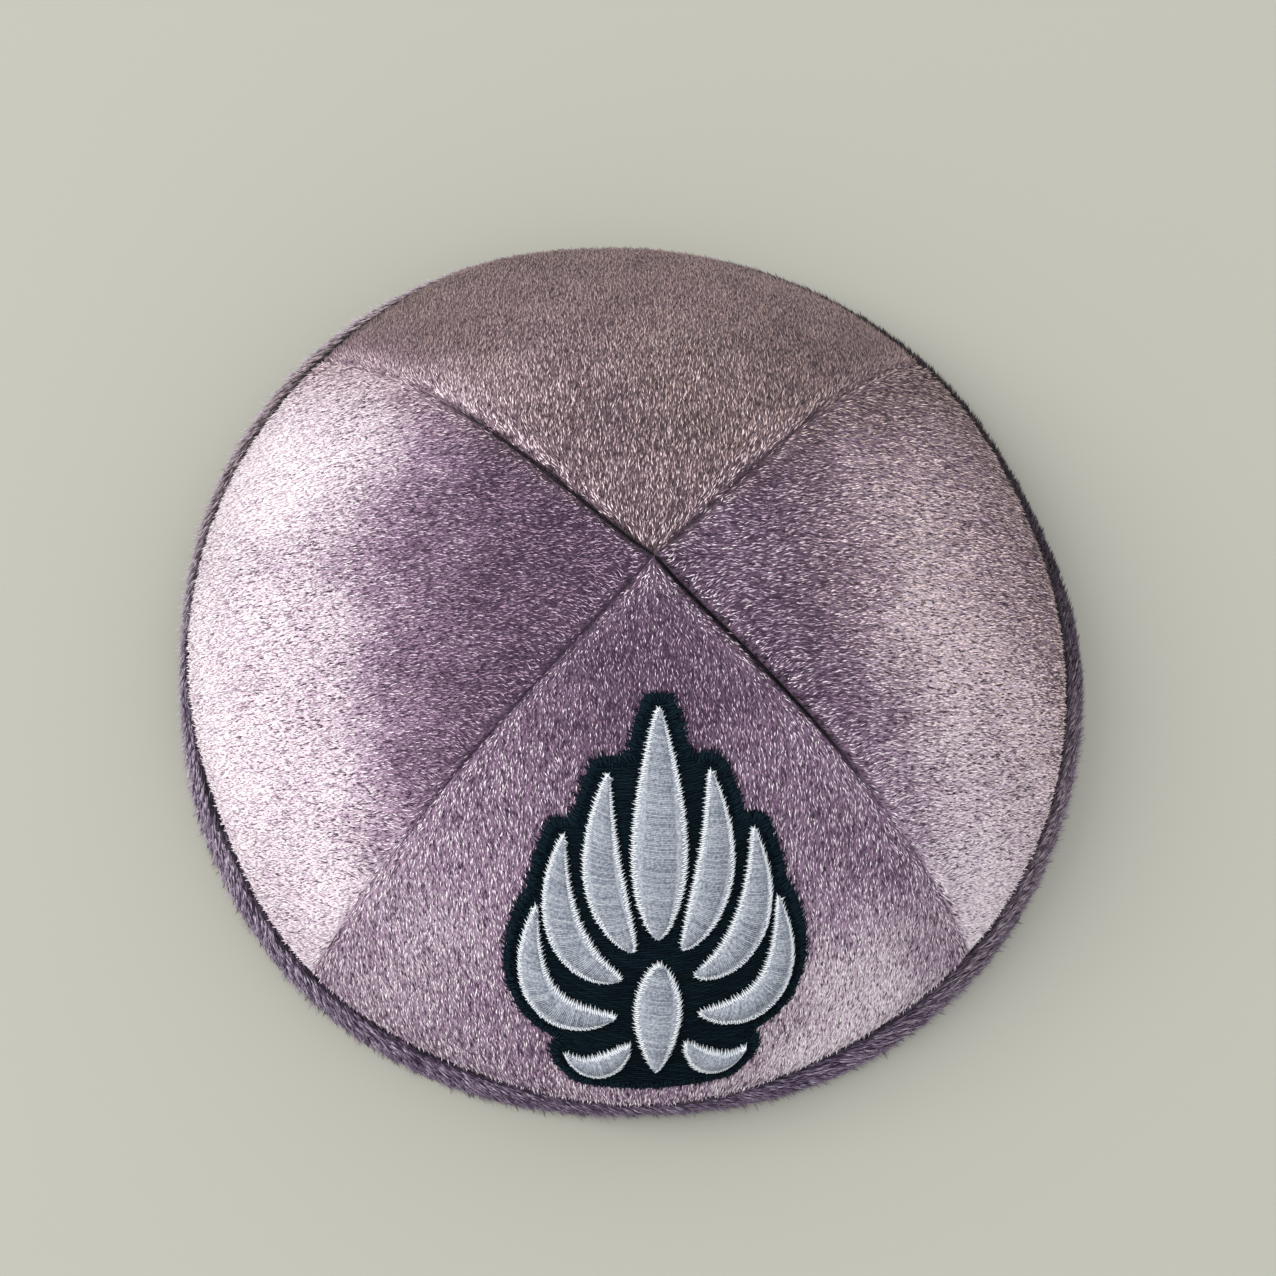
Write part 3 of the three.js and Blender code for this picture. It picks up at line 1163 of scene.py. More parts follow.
@dataclass(frozen=True)
class Thread:
    """A sewing thread's cross-section and how finely it is modelled.

    end_share is how wide it still is at its ends. Its cells of the bake map lie in one of
    two bands, each bake_band high, above bake_start.
    """

    width: float
    thickness: float
    sides: int = 5
    end_share: float = 0.35
    bake_start: float = 0.2
    bake_band: float = 0.4
    cell_margin: float = 0.1

    def sew(self, parts: MeshParts, paths: Array, ups: Array, strand: Array) -> None:
        """Add one closed thread along each path.

        Args:
            parts: The mesh that the threads join.
            paths: The paths' points, by thread and by place along it.
            ups: The directions in which the threads are thin.
            strand: How pale each thread is, from 0 to 1.
        """
        total, rings, _ = paths.shape
        along = np.empty_like(paths)
        along[:, 1:-1] = paths[:, 2:] - paths[:, :-2]
        along[:, 0] = paths[:, 1] - paths[:, 0]
        along[:, -1] = paths[:, -1] - paths[:, -2]
        along = unit(along)
        side = unit(np.cross(along, ups))
        up = np.cross(side, along)
        thin = np.ones(rings)
        thin[[0, -1]] = self.end_share
        turn = np.arange(self.sides) / self.sides * 2 * math.pi
        across = np.cos(turn)[:, None] * self.width / 2
        high = np.sin(turn)[:, None] * self.thickness / 2
        offset = side[:, :, None, :] * across + up[:, :, None, :] * high
        points = paths[:, :, None, :] + offset * thin[None, :, None, None]
        per_thread = rings * self.sides
        start = np.arange(total)[:, None, None] * per_thread
        walls = (start + ring_faces(rings, self.sides)).reshape(-1, 4)
        around = np.arange(self.sides)
        bake = self.bake_places(total, rings, self.bake_start + self.bake_band * (len(parts.points) % 2))
        parts.add(points.reshape(-1, 3), walls, bake=bake, strand=np.repeat(strand, per_thread))
        before = parts.count - total * per_thread
        for ends in (around[::-1], per_thread - self.sides + around):
            parts.add_faces((start[:, 0] + ends).reshape(total, -1), before)

    def bake_places(self, total: int, rings: int, start: float) -> Array:
        """A small cell of the bake map for each thread, in the band that starts there.

        Args:
            total: How many threads.
            rings: How many rings each has.
            start: Where their band of the map begins.

        Returns:
            The vertices' places in the map.
        """
        along = np.linspace(self.cell_margin, 1 - self.cell_margin, rings)
        turn = np.abs(np.arange(self.sides) / self.sides * 2 - 1)
        around = 2 * self.cell_margin + (1 - 4 * self.cell_margin) * turn
        inside = np.stack(np.meshgrid(along, around, indexing="ij"), axis=-1).reshape(1, -1, 2)
        return bake_cells(total, math.ceil(math.sqrt(2 * total)), start, self.bake_band, inside)


@dataclass
class Motif:
    """The palmette's plan, and how it lies on the front panel."""

    form: CapForm
    width: float = 0.047
    height: float = 0.072
    foot: float = 0.0072
    margin: float = 0.0026
    gap: float = 0.0003
    ground_pad: float = 0.0006
    leaf_pad: float = 0.0006
    leaf_crown: float = 0.00045
    leaf_tip: float = 0.06
    root_bias: float = 0.85
    fullness: float = 0.8
    ground_end: float = 0.9
    ground_levels: int = 240
    middle_steps: int = 240
    edge_steps: int = 48
    hair_overlap: float = 0.0002
    lengths: Array = field(init=False)
    shares: Array = field(init=False)

    def __post_init__(self) -> None:
        """Measure the front panel's middle line from its lower edge up."""
        self.shares = np.linspace(1.0, 0.0, self.middle_steps + 1)
        line = self.form.crown_point(Facing.FRONT, np.zeros_like(self.shares), self.shares)
        self.lengths = reached_along(line)

    def place(self, x: Array, y: Array) -> tuple[Array, Array]:
        """A place of the motif as across and along on the front panel.

        Args:
            x: Places across the motif.
            y: Places up it, along the cloth.

        Returns:
            The places across and along.
        """
        along = np.interp(self.foot + y, self.lengths, self.shares)
        radius = self.form.plan_radius(Facing.FRONT, np.zeros_like(along), along)
        return x / radius / HALF_PANEL, along

    def over(self, x: Array, y: Array, lift: Array) -> tuple[Array, Array]:
        """Points over the front panel's smooth form.

        Args:
            x: Places across the motif.
            y: Places up it, along the cloth.
            lift: How far off the cloth.

        Returns:
            The points, and the cloth's outward normals there.
        """
        across, along = self.place(x, y)
        step = 1e-3
        point = self.form.crown_point(Facing.FRONT, across, along)
        aside = self.form.crown_point(Facing.FRONT, across + step, along) - point
        upward = self.form.crown_point(Facing.FRONT, across, along - step) - point
        normal = unit(np.cross(aside, upward))
        return point + normal * np.asarray(lift)[..., None], normal

    def leaf(self, row: LeafRow, side: int, share: Array, offset: Array) -> Array:
        """Places on a leaf, in the motif's plan.

        Args:
            row: The leaf.
            side: 1 for the right one of a pair, -1 for the left one.
            share: How far along its spine, from 0 to 1.
            offset: How far across it, from -1 to 1.

        Returns:
            The places as x and y.
        """
        scale = np.array([side * self.width / 2, self.height])
        root, bend, tip = (np.array(place) * scale for place in (row.root, row.bend, row.tip))
        share = np.asarray(share)[..., None]
        centre = root * (1 - share) ** 2 + bend * 2 * share * (1 - share) + tip * share**2
        heading = unit((bend - root) * (1 - share) + (tip - bend) * share)
        swell = np.sin(math.pi * share**self.root_bias) ** self.fullness
        half = row.breadth * self.width / 2 * (self.leaf_tip + (1 - self.leaf_tip) * swell)
        reach = half * np.asarray(offset)[..., None]
        return centre + np.stack([-heading[..., 1], heading[..., 0]], axis=-1) * reach

    def leaf_outline(self, row: LeafRow, side: int, steps: int = 60) -> Array:
        """A leaf's edge, up one side and down the other.

        Args:
            row: The leaf.
            side: 1 for the right one of a pair, -1 for the left one.
            steps: How many steps up each side.

        Returns:
            The outline's points.
        """
        share = np.linspace(0, 1, steps + 1)
        up = self.leaf(row, side, share, np.ones_like(share))
        down = self.leaf(row, side, share[::-1], -np.ones_like(share))
        return np.concatenate([up, down])

    def leaf_edges(self) -> Array:
        """The edges of all leaves."""
        return np.concatenate([self.leaf_outline(row, side, self.edge_steps) for row, side in self.leaves()])

    @staticmethod
    def leaves() -> list[tuple[LeafRow, int]]:
        """Every leaf, as its row and its side."""
        return [(row, side) for row in LEAF_ROWS for side in ((1, -1) if row.paired else (1,))]

    def ground_half_width(self, y: Array) -> Array:
        """Half the dark ground's width at heights of the motif.

        Args:
            y: Heights up the motif.

        Returns:
            One half width for each.
        """
        edges = self.leaf_edges()
        apart = np.abs(edges[None, :, 1] - np.asarray(y)[:, None])
        room = np.sqrt(np.maximum(self.margin**2 - apart**2, 0.0))
        reach = np.where(apart < self.margin, np.abs(edges[None, :, 0]) + room, 0.0)
        return reach.max(axis=1)

    def ground_ends(self) -> tuple[float, float]:
        """The lowest and highest place of the dark ground."""
        heights, end = self.leaf_edges()[:, 1], self.ground_end * self.margin
        return float(heights.min() - end), float(heights.max() + end)

    def under_ground(self, across: Array, along: Array) -> Array:
        """Whether places on the front panel lie under the dark ground.

        Args:
            across: Places between its seams.
            along: Places down it from the apex.

        Returns:
            True for each place that does.
        """
        radius = self.form.plan_radius(Facing.FRONT, np.zeros_like(along), along)
        x = across * HALF_PANEL * radius
        y = np.interp(-along, -self.shares, self.lengths) - self.foot
        low, high = self.ground_ends()
        levels = np.linspace(low, high, self.ground_levels)
        half = np.interp(y, levels, self.ground_half_width(levels), left=0.0, right=0.0)
        return np.abs(x) < half - self.hair_overlap


def finish_piece(piece: Piece, nodes: Sequence[str]) -> None:
    """Let a piece ride with the cap, and stand for its solids.

    Args:
        piece: The piece.
        nodes: The solids' names.
    """
    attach(piece, "root")
    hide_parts(*nodes)
    log.info("%s: %d faces", piece.name, len(piece.data.polygons))


@dataclass(frozen=True)
class SeamShade:
    """The painted shade of the dark line where a seam is drawn in, and the painted highlight of
    the pale fringe of hairs beside it.

    The line is full within dark_within and ends at clear_beyond, and where the seam is
    drawn tight it widens. It wanders by soft chance and breaks off in gaps.
    """

    dark_within: float = 0.0001
    clear_beyond: float = 0.0003
    dark_widening: float = 0.0004
    clear_widening: float = 0.00045
    widening_power: int = 3
    wander: float = 0.0004
    chance: float = 0.0003
    wander_cells: float = 80.0
    wander_seed: int = 7
    gap_cells: float = 65.0
    gap_seed: int = 16
    gaps: Rise = Rise(-0.4, 0.3)
    fringe_at: float = 0.0013
    fringe_width: float = 0.0008

    def groove(self, apart: Array, along: Array, drawn: Array, rng: Chance) -> Array:
        """How far hairs stand in the seam's dark line of painted shade.

        Args:
            apart: Their distances from the seam.
            along: Their places down it.
            drawn: How tightly it is drawn there.
            rng: The source of chance.

        Returns:
            A value from 0 to 1 for each.
        """
        wander, gap = (
            Cloud(np.random.default_rng(seed)).at(along * cells, 0 * along)
            for seed, cells in ((self.wander_seed, self.wander_cells), (self.gap_seed, self.gap_cells))
        )
        rough = self.wander * wander + self.chance * rng.uniform(-1, 1, len(apart))
        wide = drawn**self.widening_power
        inner = self.dark_within + self.dark_widening * wide
        outer = self.clear_beyond + self.clear_widening * wide
        line = 1 - smooth_step(apart + rough, inner, outer)
        return line * drawn * (1 - (1 - drawn) * self.gaps.at(gap))

    def fringe(self, apart: Array) -> Array:
        """How far places lie in the pale fringe of painted highlight, from 0 to 1."""
        return np.exp(-(((apart - self.fringe_at) / self.fringe_width) ** 2))


@dataclass(frozen=True)
class PanelPile:
    """How a panel's pile changes near its seams and its lower edge, with painted shade in the
    seams, in the fold and towards the back's horizon.
    """

    hair_length: float = 0.0015
    edge_shortening: float = 0.5
    edge: Rise = Rise(0.97, 1.0)
    edge_turn: float = 2.0
    edge_tone: float = 0.08
    # Painted shade in the fold where the panel meets the binding, and towards the back panel's horizon.
    fold: Rise = Rise(0.986, 0.996)
    fold_shade: float = 0.9
    horizon: Rise = Rise(0.885, 0.93)
    horizon_shade: float = 0.5
    calm: Rise = Rise(0.2, 0.7)
    calmness: float = 0.78
    seam_band: float = 0.007
    seam_tone: float = 0.05
    seam_wildness: float = 0.6
    crossing_band: float = 0.0018
    crossing_turn: float = 0.8
    # Painted highlight of the pale fringe beside the seams.
    fringe_highlight_tone: float = 0.08
    fringe_highlight_tone_drawn: float = 0.26
    # Painted shade of the seams' dark line.
    groove_shade_tone: float = 2.2
    groove_shade: float = 0.95


@dataclass(frozen=True)
class PanelTint:
    """Where the pile looks brown, and how the brushed patches of painted sheen fade and drift by chance.

    Cells, drifts and shifts are in mm over the plan, as the patches are.
    """

    patch: Rise = Rise(0.25, 1.45)
    wide_drift: float = 3.0
    wide_cell: float = 6.0
    fine_drift: float = 1.2
    fine_cell: float = 2.0
    wide_shift: float = 50.0
    fine_shift: float = 90.0
    usual_brown: float = 0.08
    right_brown: float = 0.85
    right_lean: float = 0.5
    right: Rise = Rise(0.3, 1.0)
    right_down: Rise = Rise(0.1, 0.5)
    back: Rise = Rise(0.55, 0.85)
    back_brown: float = 0.6
    back_brown_down: float = 0.4

    def drifted(self, right: Array, back: Array, seed: int) -> tuple[Array, Array]:
        """Places of the plan, moved a little by soft chance.

        Args:
            right: How far right of the apex they lie.
            back: How far behind it.
            seed: The seed of that chance.

        Returns:
            The places, as right and back.
        """
        cloud = Cloud(np.random.default_rng(seed))
        wide = cloud.at(right / self.wide_cell, back / self.wide_cell)
        fine = cloud.at(right / self.fine_cell + self.fine_shift, back / self.fine_cell)
        right = right + self.wide_drift * wide + self.fine_drift * fine
        wide = cloud.at(right / self.wide_cell + self.wide_shift, back / self.wide_cell)
        fine = cloud.at(right / self.fine_cell, back / self.fine_cell + self.fine_shift)
        return right, back + self.wide_drift * wide + self.fine_drift * fine

    def brown(self, angle: Array, along: Array) -> Array:
        """How brown the pile is at an angle and a place down the crown, from 0 to 1.

        Args:
            angle: Angles round the apex.
            along: Places from the apex, 0, to the lower edge, 1.

        Returns:
            One value for each.
        """
        back = self.back.at(np.sin(angle)) * (self.back_brown + self.back_brown_down * along)
        right = self.right.at(np.cos(angle) + self.right_lean * np.sin(angle))
        right = self.right_brown * right * self.right_down.at(along)
        return np.clip(self.usual_brown + right + back, 0.0, 1.0)


@dataclass
class CrownPanel:
    """One quarter of the crown, with its pile.

    bake_across and bake_down are where the cloth's part of the bake map starts, and its size.
    """

    form: CapForm
    facing: Facing
    motif: Motif
    velvet: Material
    backing: Material
    hairs: int = 38000
    rows: int = 72
    columns: int = 65
    root_cells: int = 160
    seed: int = 7
    channel_outer: float = 0.0017
    channel_inner: float = 0.003
    channel_floor: float = 0.0019
    ledge: float = 0.0073
    lip_points: int = 5
    lip_start: float = 0.15
    crowding: float = 0.7
    row_crowding: float = 1.05
    nap_length: float = 0.1
    nap_half_width: float = 0.06
    nap_run: float = 0.105
    bake_across: tuple[float, float] = (0.01, 0.98)
    bake_down: tuple[float, float] = (0.005, 0.48)
    hidden_tone: float = 0.5
    # Painted light of the cloth under the hairs: dark as painted shade, paler in the pale patches, darker
    # still in drawn seams.
    cloth_painted_light: float = 0.25
    cloth_painted_light_bright: float = 0.4
    cloth_bright: Rise = Rise(0.35, 0.95)
    cloth_groove: Rise = Rise(0.0001, 0.0007)
    cloth_groove_shade: float = 0.6
    shade: SeamShade = SeamShade()
    lay: PanelPile = PanelPile()
    tint: PanelTint = PanelTint()

    @property
    def look(self) -> PanelLook:
        """How this panel's pile lies and has been brushed."""
        return PANEL_LOOKS[self.facing]

    def tone(self, across: Array, along: Array) -> Array:
        """How pale the pile is, with painted sheen and shade where brushing has turned it to or from the
        light.

        Args:
            across: Places between the seams.
            along: Places from the apex to the lower edge.

        Returns:
            A value from 0, deep, to 1, pale.
        """
        radius = self.form.plan_radius(self.facing, across, along) / MM
        angle = self.facing.value + across * HALF_PANEL
        right, back = self.tint.drifted(radius * np.cos(angle), radius * np.sin(angle), self.seed)
        tone = np.full(right.shape, self.look.tone)
        for row in self.look.sheen_patches:
            apart = np.hypot((right - row.right) / row.wide, (back - row.back) / row.long)
            tone = tone + row.lift * (1 - self.tint.patch.at(apart))
        return tone

    def warmth(self, across: Array, along: Array) -> Array:
        """How brown the pile looks, from 0 to 1."""
        return self.tint.brown(self.facing.value + across * HALF_PANEL, along)

    def section(self, across: Array, along: Array) -> Array:
        """The cloth's points in each column: down the outside, round its edge and back up.

        Args:
            across: The columns' places between the seams.
            along: The places down each.

        Returns:
            The points, by column.
        """
        form = self.form
        outer = form.cloth_point(self.facing, across, along)
        inner = form.crown_point(self.facing, across, along, np.full_like(along, form.wall))
        angle = self.facing.value + across[:, :1] * HALF_PANEL
        turn = np.linspace(self.lip_start, 1, self.lip_points)[None, :] * math.pi / 2
        lip_in = self.channel_outer * (1 - np.cos(turn)) - form.panel_swell * np.cos(turn)
        lip = form.rim_point(angle, lip_in, form.crown_base - (form.crown_base - self.ledge) * np.sin(turn))
        foot_in = np.array([[self.channel_outer, self.channel_inner, self.channel_inner]])
        foot_high = np.array([[self.channel_floor, self.channel_floor, form.crown_base]])
        foot = form.rim_point(angle, foot_in, foot_high)
        return np.concatenate([outer, lip, foot, inner[:, ::-1]], axis=1)

    def shell_maps(self, across: Array, along: Array, count: int) -> tuple[Array, Array]:
        """The places of the cloth's points in the nap map and in the lower half of the bake map.

        Args:
            across: Places between its seams.
            along: Places down it from the apex.
            count: How many points the cloth has in a column.

        Returns:
            The places in each map, one for each point.
        """
        hidden = np.ones((self.columns, count - 2 * self.rows))
        down = np.concatenate([along, hidden, along[:, ::-1]], axis=1)
        beside = np.broadcast_to(across[:, :1], down.shape)
        around = np.broadcast_to(np.linspace(0, 1, count), down.shape)
        nap = np.stack([beside * self.nap_half_width, down * self.nap_length], axis=-1)
        (left, wide), (foot, high) = self.bake_across, self.bake_down
        bake = np.stack([(beside + 1) / 2 * wide + left, around * high + foot], axis=-1)
        return nap.reshape(-1, 2), bake.reshape(-1, 2)

    def shell_values(self, across: Array, along: Array, count: int) -> dict[str, Array]:
        """The tone, warmth and painted light that the cloth's points carry.

        Args:
            across: Places between its seams.
            along: Places down it from the apex.
            count: How many points the cloth has in a column.

        Returns:
            Each value's name, with one value for each point.
        """
        rows = self.rows
        tone = np.full((self.columns, count), self.hidden_tone)
        tone[:, :rows] = self.tone(across, along)
        tone[:, rows : rows + self.lip_points] = tone[:, rows - 1 : rows]
        drawn = self.form.seam_tightness(self.facing, across, along)
        groove = 1 - self.cloth_groove.at(self.form.from_seam(self.facing, across, along))
        # Painted light and shade, carried as tip: shade under the hairs, paler in pale patches, painted
        # shade in the drawn seams.
        tip = np.full((self.columns, count), self.cloth_painted_light)
        tip[:, :rows] += self.cloth_painted_light_bright * self.cloth_bright.at(tone[:, :rows])
        tip[:, :rows] -= self.cloth_groove_shade * groove * drawn
        warm = np.repeat(self.warmth(across[:, :1], along[:, :1]), count, axis=1)
        return {"tone": tone.ravel(), "warm": warm.ravel(), "tip": tip.ravel()}

    def shell(self, parts: MeshParts) -> None:
        """Add the cloth itself: velvet outside, woven backing inside.

        Args:
            parts: The mesh that it joins.
        """
        even = np.linspace(-1, 1, self.columns)[:, None]
        across = (1 - self.crowding) * even + self.crowding * np.sin(even * math.pi / 2)
        along = np.linspace(0, 1, self.rows)[None, :] ** self.row_crowding
        across, along = np.broadcast_arrays(across, along)
        section = self.section(across, along)
        count = section.shape[1]
        starts = np.arange(self.columns - 1)[:, None] * count
        shut = starts + np.array([count - 1, 0, count, 2 * count - 1])
        faces = np.concatenate([grid_faces(self.columns, count), shut])
        velvet_side = np.tile(np.arange(count) < self.rows + self.lip_points, self.columns)
        outside = velvet_side[faces].all(axis=1)
        nap, bake = self.shell_maps(across, along, count)
        first = parts.count
        values = self.shell_values(across, along, count)
        parts.add(section.reshape(-1, 3), faces[outside], nap=nap, bake=bake, **values)
        left_end, right_end = (self.end_faces(count, column) for column in (0, self.columns - 1))
        for group in (faces[~outside], left_end, right_end[:, ::-1]):
            parts.add_faces(group, first, slot=1)

    @staticmethod
    def end_faces(count: int, column: int) -> Array:
        """The faces that close the cloth's cut edge at one seam."""
        near = np.arange(count // 2 - 1)
        return column * count + np.stack([near, count - 1 - near, count - 2 - near, near + 1], axis=-1)

    def root_places(self, rng: Chance) -> tuple[Array, Array]:
        """Where the hairs stand, as across and along, clear of the embroidery.

        Args:
            rng: The source of chance.

        Returns:
            The places, one for each hair.
        """
        lines = self.root_cells + 1
        plan = np.meshgrid(np.linspace(-1, 1, lines), np.linspace(0, 1, lines))
        grid = self.form.cloth_point(self.facing, *plan)
        row, column, down, over = spread_roots(cell_areas(grid), self.hairs, rng)
        across, along = -1 + 2 * (column + over) / self.root_cells, (row + down) / self.root_cells
        if self.facing is Facing.FRONT:
            clear = ~self.motif.under_ground(across, along)
            return across[clear], along[clear]
        return across, along

    def pile(self, parts: MeshParts, rng: Chance) -> None:
        """Add the hairs: they turn at the seams, deepen in them with painted shade and shorten at the edge.

        Args:
            parts: The mesh that they join.
            rng: The source of chance.
        """
        form, facing, lay = self.form, self.facing, self.lay
        across, along = self.root_places(rng)
        apart = form.from_seam(facing, across, along)
        drawn = form.seam_tightness(facing, across, along)
        near = 1 - smooth_step(apart, 0.0, lay.seam_band)
        crossing = (1 - smooth_step(apart, 0.0, lay.crossing_band)) * (1 - drawn)
        edge = lay.edge.at(along)
        normals, naps = form.cloth_frame(facing, across, along)
        side = unit(np.cross(normals, naps)) * np.sign(across)[:, None]
        turn = self.look.splay * near * (1 - crossing) + lay.crossing_turn * crossing
        naps = unit(naps + side * turn[:, None])
        naps = unit(naps + side * (lay.edge_turn * edge)[:, None])
        groove = self.shade.groove(apart, along, drawn, rng)
        # Painted shade in the seams' dark line, the lower fold and the back's horizon; painted highlight in
        # the fringe.
        tone = self.tone(across, along) + lay.seam_tone * near - lay.groove_shade_tone * groove
        tone = tone + (lay.fringe_highlight_tone + lay.fringe_highlight_tone_drawn * drawn) * self.shade.fringe(apart)
        shade = (1 - lay.groove_shade * groove) * (1 - lay.fold_shade * lay.fold.at(along))
        contrast = self.look.contrast
        if facing is Facing.BACK:
            shade = shade * (1 - lay.horizon_shade * lay.horizon.at(along))
            contrast = contrast * (1 - lay.calmness * lay.calm.at(along))
        radius = form.plan_radius(facing, across, along)
        bed = PileBed(
            roots=form.cloth_point(facing, across, along), normals=normals, naps=naps,
            places=np.stack([radius * np.sin(across * HALF_PANEL), along * self.nap_run], axis=1),
            tone=tone + lay.edge_tone * edge, warm=self.warmth(across, along), shade=shade,
            wild=lay.seam_wildness * near,
        )
        pile = Pile(length=lay.hair_length * (1 - lay.edge_shortening * edge), contrast=contrast)
        pile.grow(parts, bed, rng)

    def build(self) -> None:
        """Make the panel's one mesh and dress it."""
        parts = MeshParts(("tone", "warm", "tip"))
        self.shell(parts)
        self.pile(parts, np.random.default_rng(self.seed + list(Facing).index(self.facing)))
        piece = parts.build(f"velvet_{self.facing.word}", (self.velvet, self.backing))
        finish_piece(piece, [self.facing.panel_node])


@dataclass(frozen=True)
class RimSides:
    """How far places on the rim lie on each of its sides, from 0 to 1."""

    sunlit: Array
    far: Array
    right: Array
    front: Array
    behind: Array


@dataclass(frozen=True)
class BySide:
    """A value that changes round the rim: the usual one and what each side adds to it."""

    usual: float
    sunlit: float = 0.0
    far: float = 0.0
    right: float = 0.0
    front: float = 0.0

    def at(self, sides: RimSides) -> Array:
        """The value at each place."""
        value = self.usual + self.sunlit * sides.sunlit + self.far * sides.far
        return value + self.right * sides.right * (1 - sides.far) + self.front * sides.front


@dataclass(frozen=True)
class RimLight:
    """Which stretches of the rim lie in the light and which in shade, by angles from +X."""

    sun_deg: float = 150.0
    far_deg: float = 18.0
    sunlit: Rise = Rise(-0.2, 1.0)
    far: Rise = Rise(0.0, 0.7)
    far_right: Rise = Rise(-0.6, 0.0)
    right: Rise = Rise(0.2, 0.9)
    front: Rise = Rise(0.0, 0.8)
    behind: Rise = Rise(-0.1, 0.5)

    def in_sun(self, angle: Array) -> Array:
        """How much light falls on the rim at an angle, from 0 to 1."""
        return self.sunlit.at(np.cos(angle - math.radians(self.sun_deg)))

    def at_back(self, angle: Array) -> Array:
        """How far back on the rim an angle lies, from 0 to 1."""
        return self.far.at(np.sin(angle + math.radians(self.far_deg)))

    def sides(self, angle: Array) -> RimSides:
        """The sides on which angles lie.

        Args:
            angle: Angles round the rim.

        Returns:
            How far each lies on each side.
        """
        sunlit = self.in_sun(angle)
        return RimSides(
            sunlit=sunlit, far=self.at_back(angle) * (1 - sunlit), right=self.right.at(np.cos(angle)),
            front=self.front.at(-np.sin(angle)), behind=self.behind.at(np.sin(angle)),
        )


@dataclass(frozen=True)
class BindingCoat:
    """The binding's long hairs, which lie along the rim in twisted tufts, with painted light on
    the sunlit side and painted shade on the far side and at the top.
    """

    total: int = 29000
    length: BySide = BySide(2.6 * MM, far=-0.91 * MM)
    width: float = 0.26 * MM
    lift_deg: BySide = BySide(13.0, far=22.0)
    unruly_deg: float = 9.0
    tuft_length: float = 2.2 * MM
    # Painted light: more contrast where sunlit.
    contrast: BySide = BySide(0.7, sunlit=0.5)
    lay: BySide = BySide(0.25, sunlit=0.35)
    lay_down: float = 0.12
    lay_cells: tuple[float, float] = (16.0, 3.0)
    # Painted light on the sunlit side, painted shade on the far side.
    tone: BySide = BySide(0.33, sunlit=0.28, far=-0.3, right=0.1, front=0.14)
    # Painted shade towards the top, where the binding meets the panels.
    top: Rise = Rise(0.75, 0.9)
    top_shade_tone: float = 0.4
    # The twist's stripes, stronger where sunlit as painted light.
    twist_tone: BySide = BySide(0.1, sunlit=0.25)
    twist_period: float = 2.4 * MM
    twist_slant: float = 1.3
    # A band of painted shade at the top, where the binding meets the panels.
    shade_from: BySide = BySide(0.87, sunlit=-0.14)
    shade_length: float = 0.08
    dark_shade: float = 0.93
    far_shade: float = 0.6
    brown_beside: float = 0.6
    brown_behind: float = 0.8


@dataclass(frozen=True)
class BindingFuzz:
    """The few fine pale hairs that stand out from the binding."""

    total: int = 4500
    along: tuple[float, float] = (0.03, 0.6)
    length: float = 2.2 * MM
    shorter_far: float = 0.6
    width: float = 0.13 * MM
    lift_deg: float = 42.0
    unruly_deg: float = 24.0
    contrast: float = 0.3
    lay_down: float = 0.45
    tone: float = 0.45
    # Painted light where sunlit, painted shade on the far side.
    tone_sunlit: float = 0.5
    far_shade: float = 0.7
    bake_from: float = 0.9


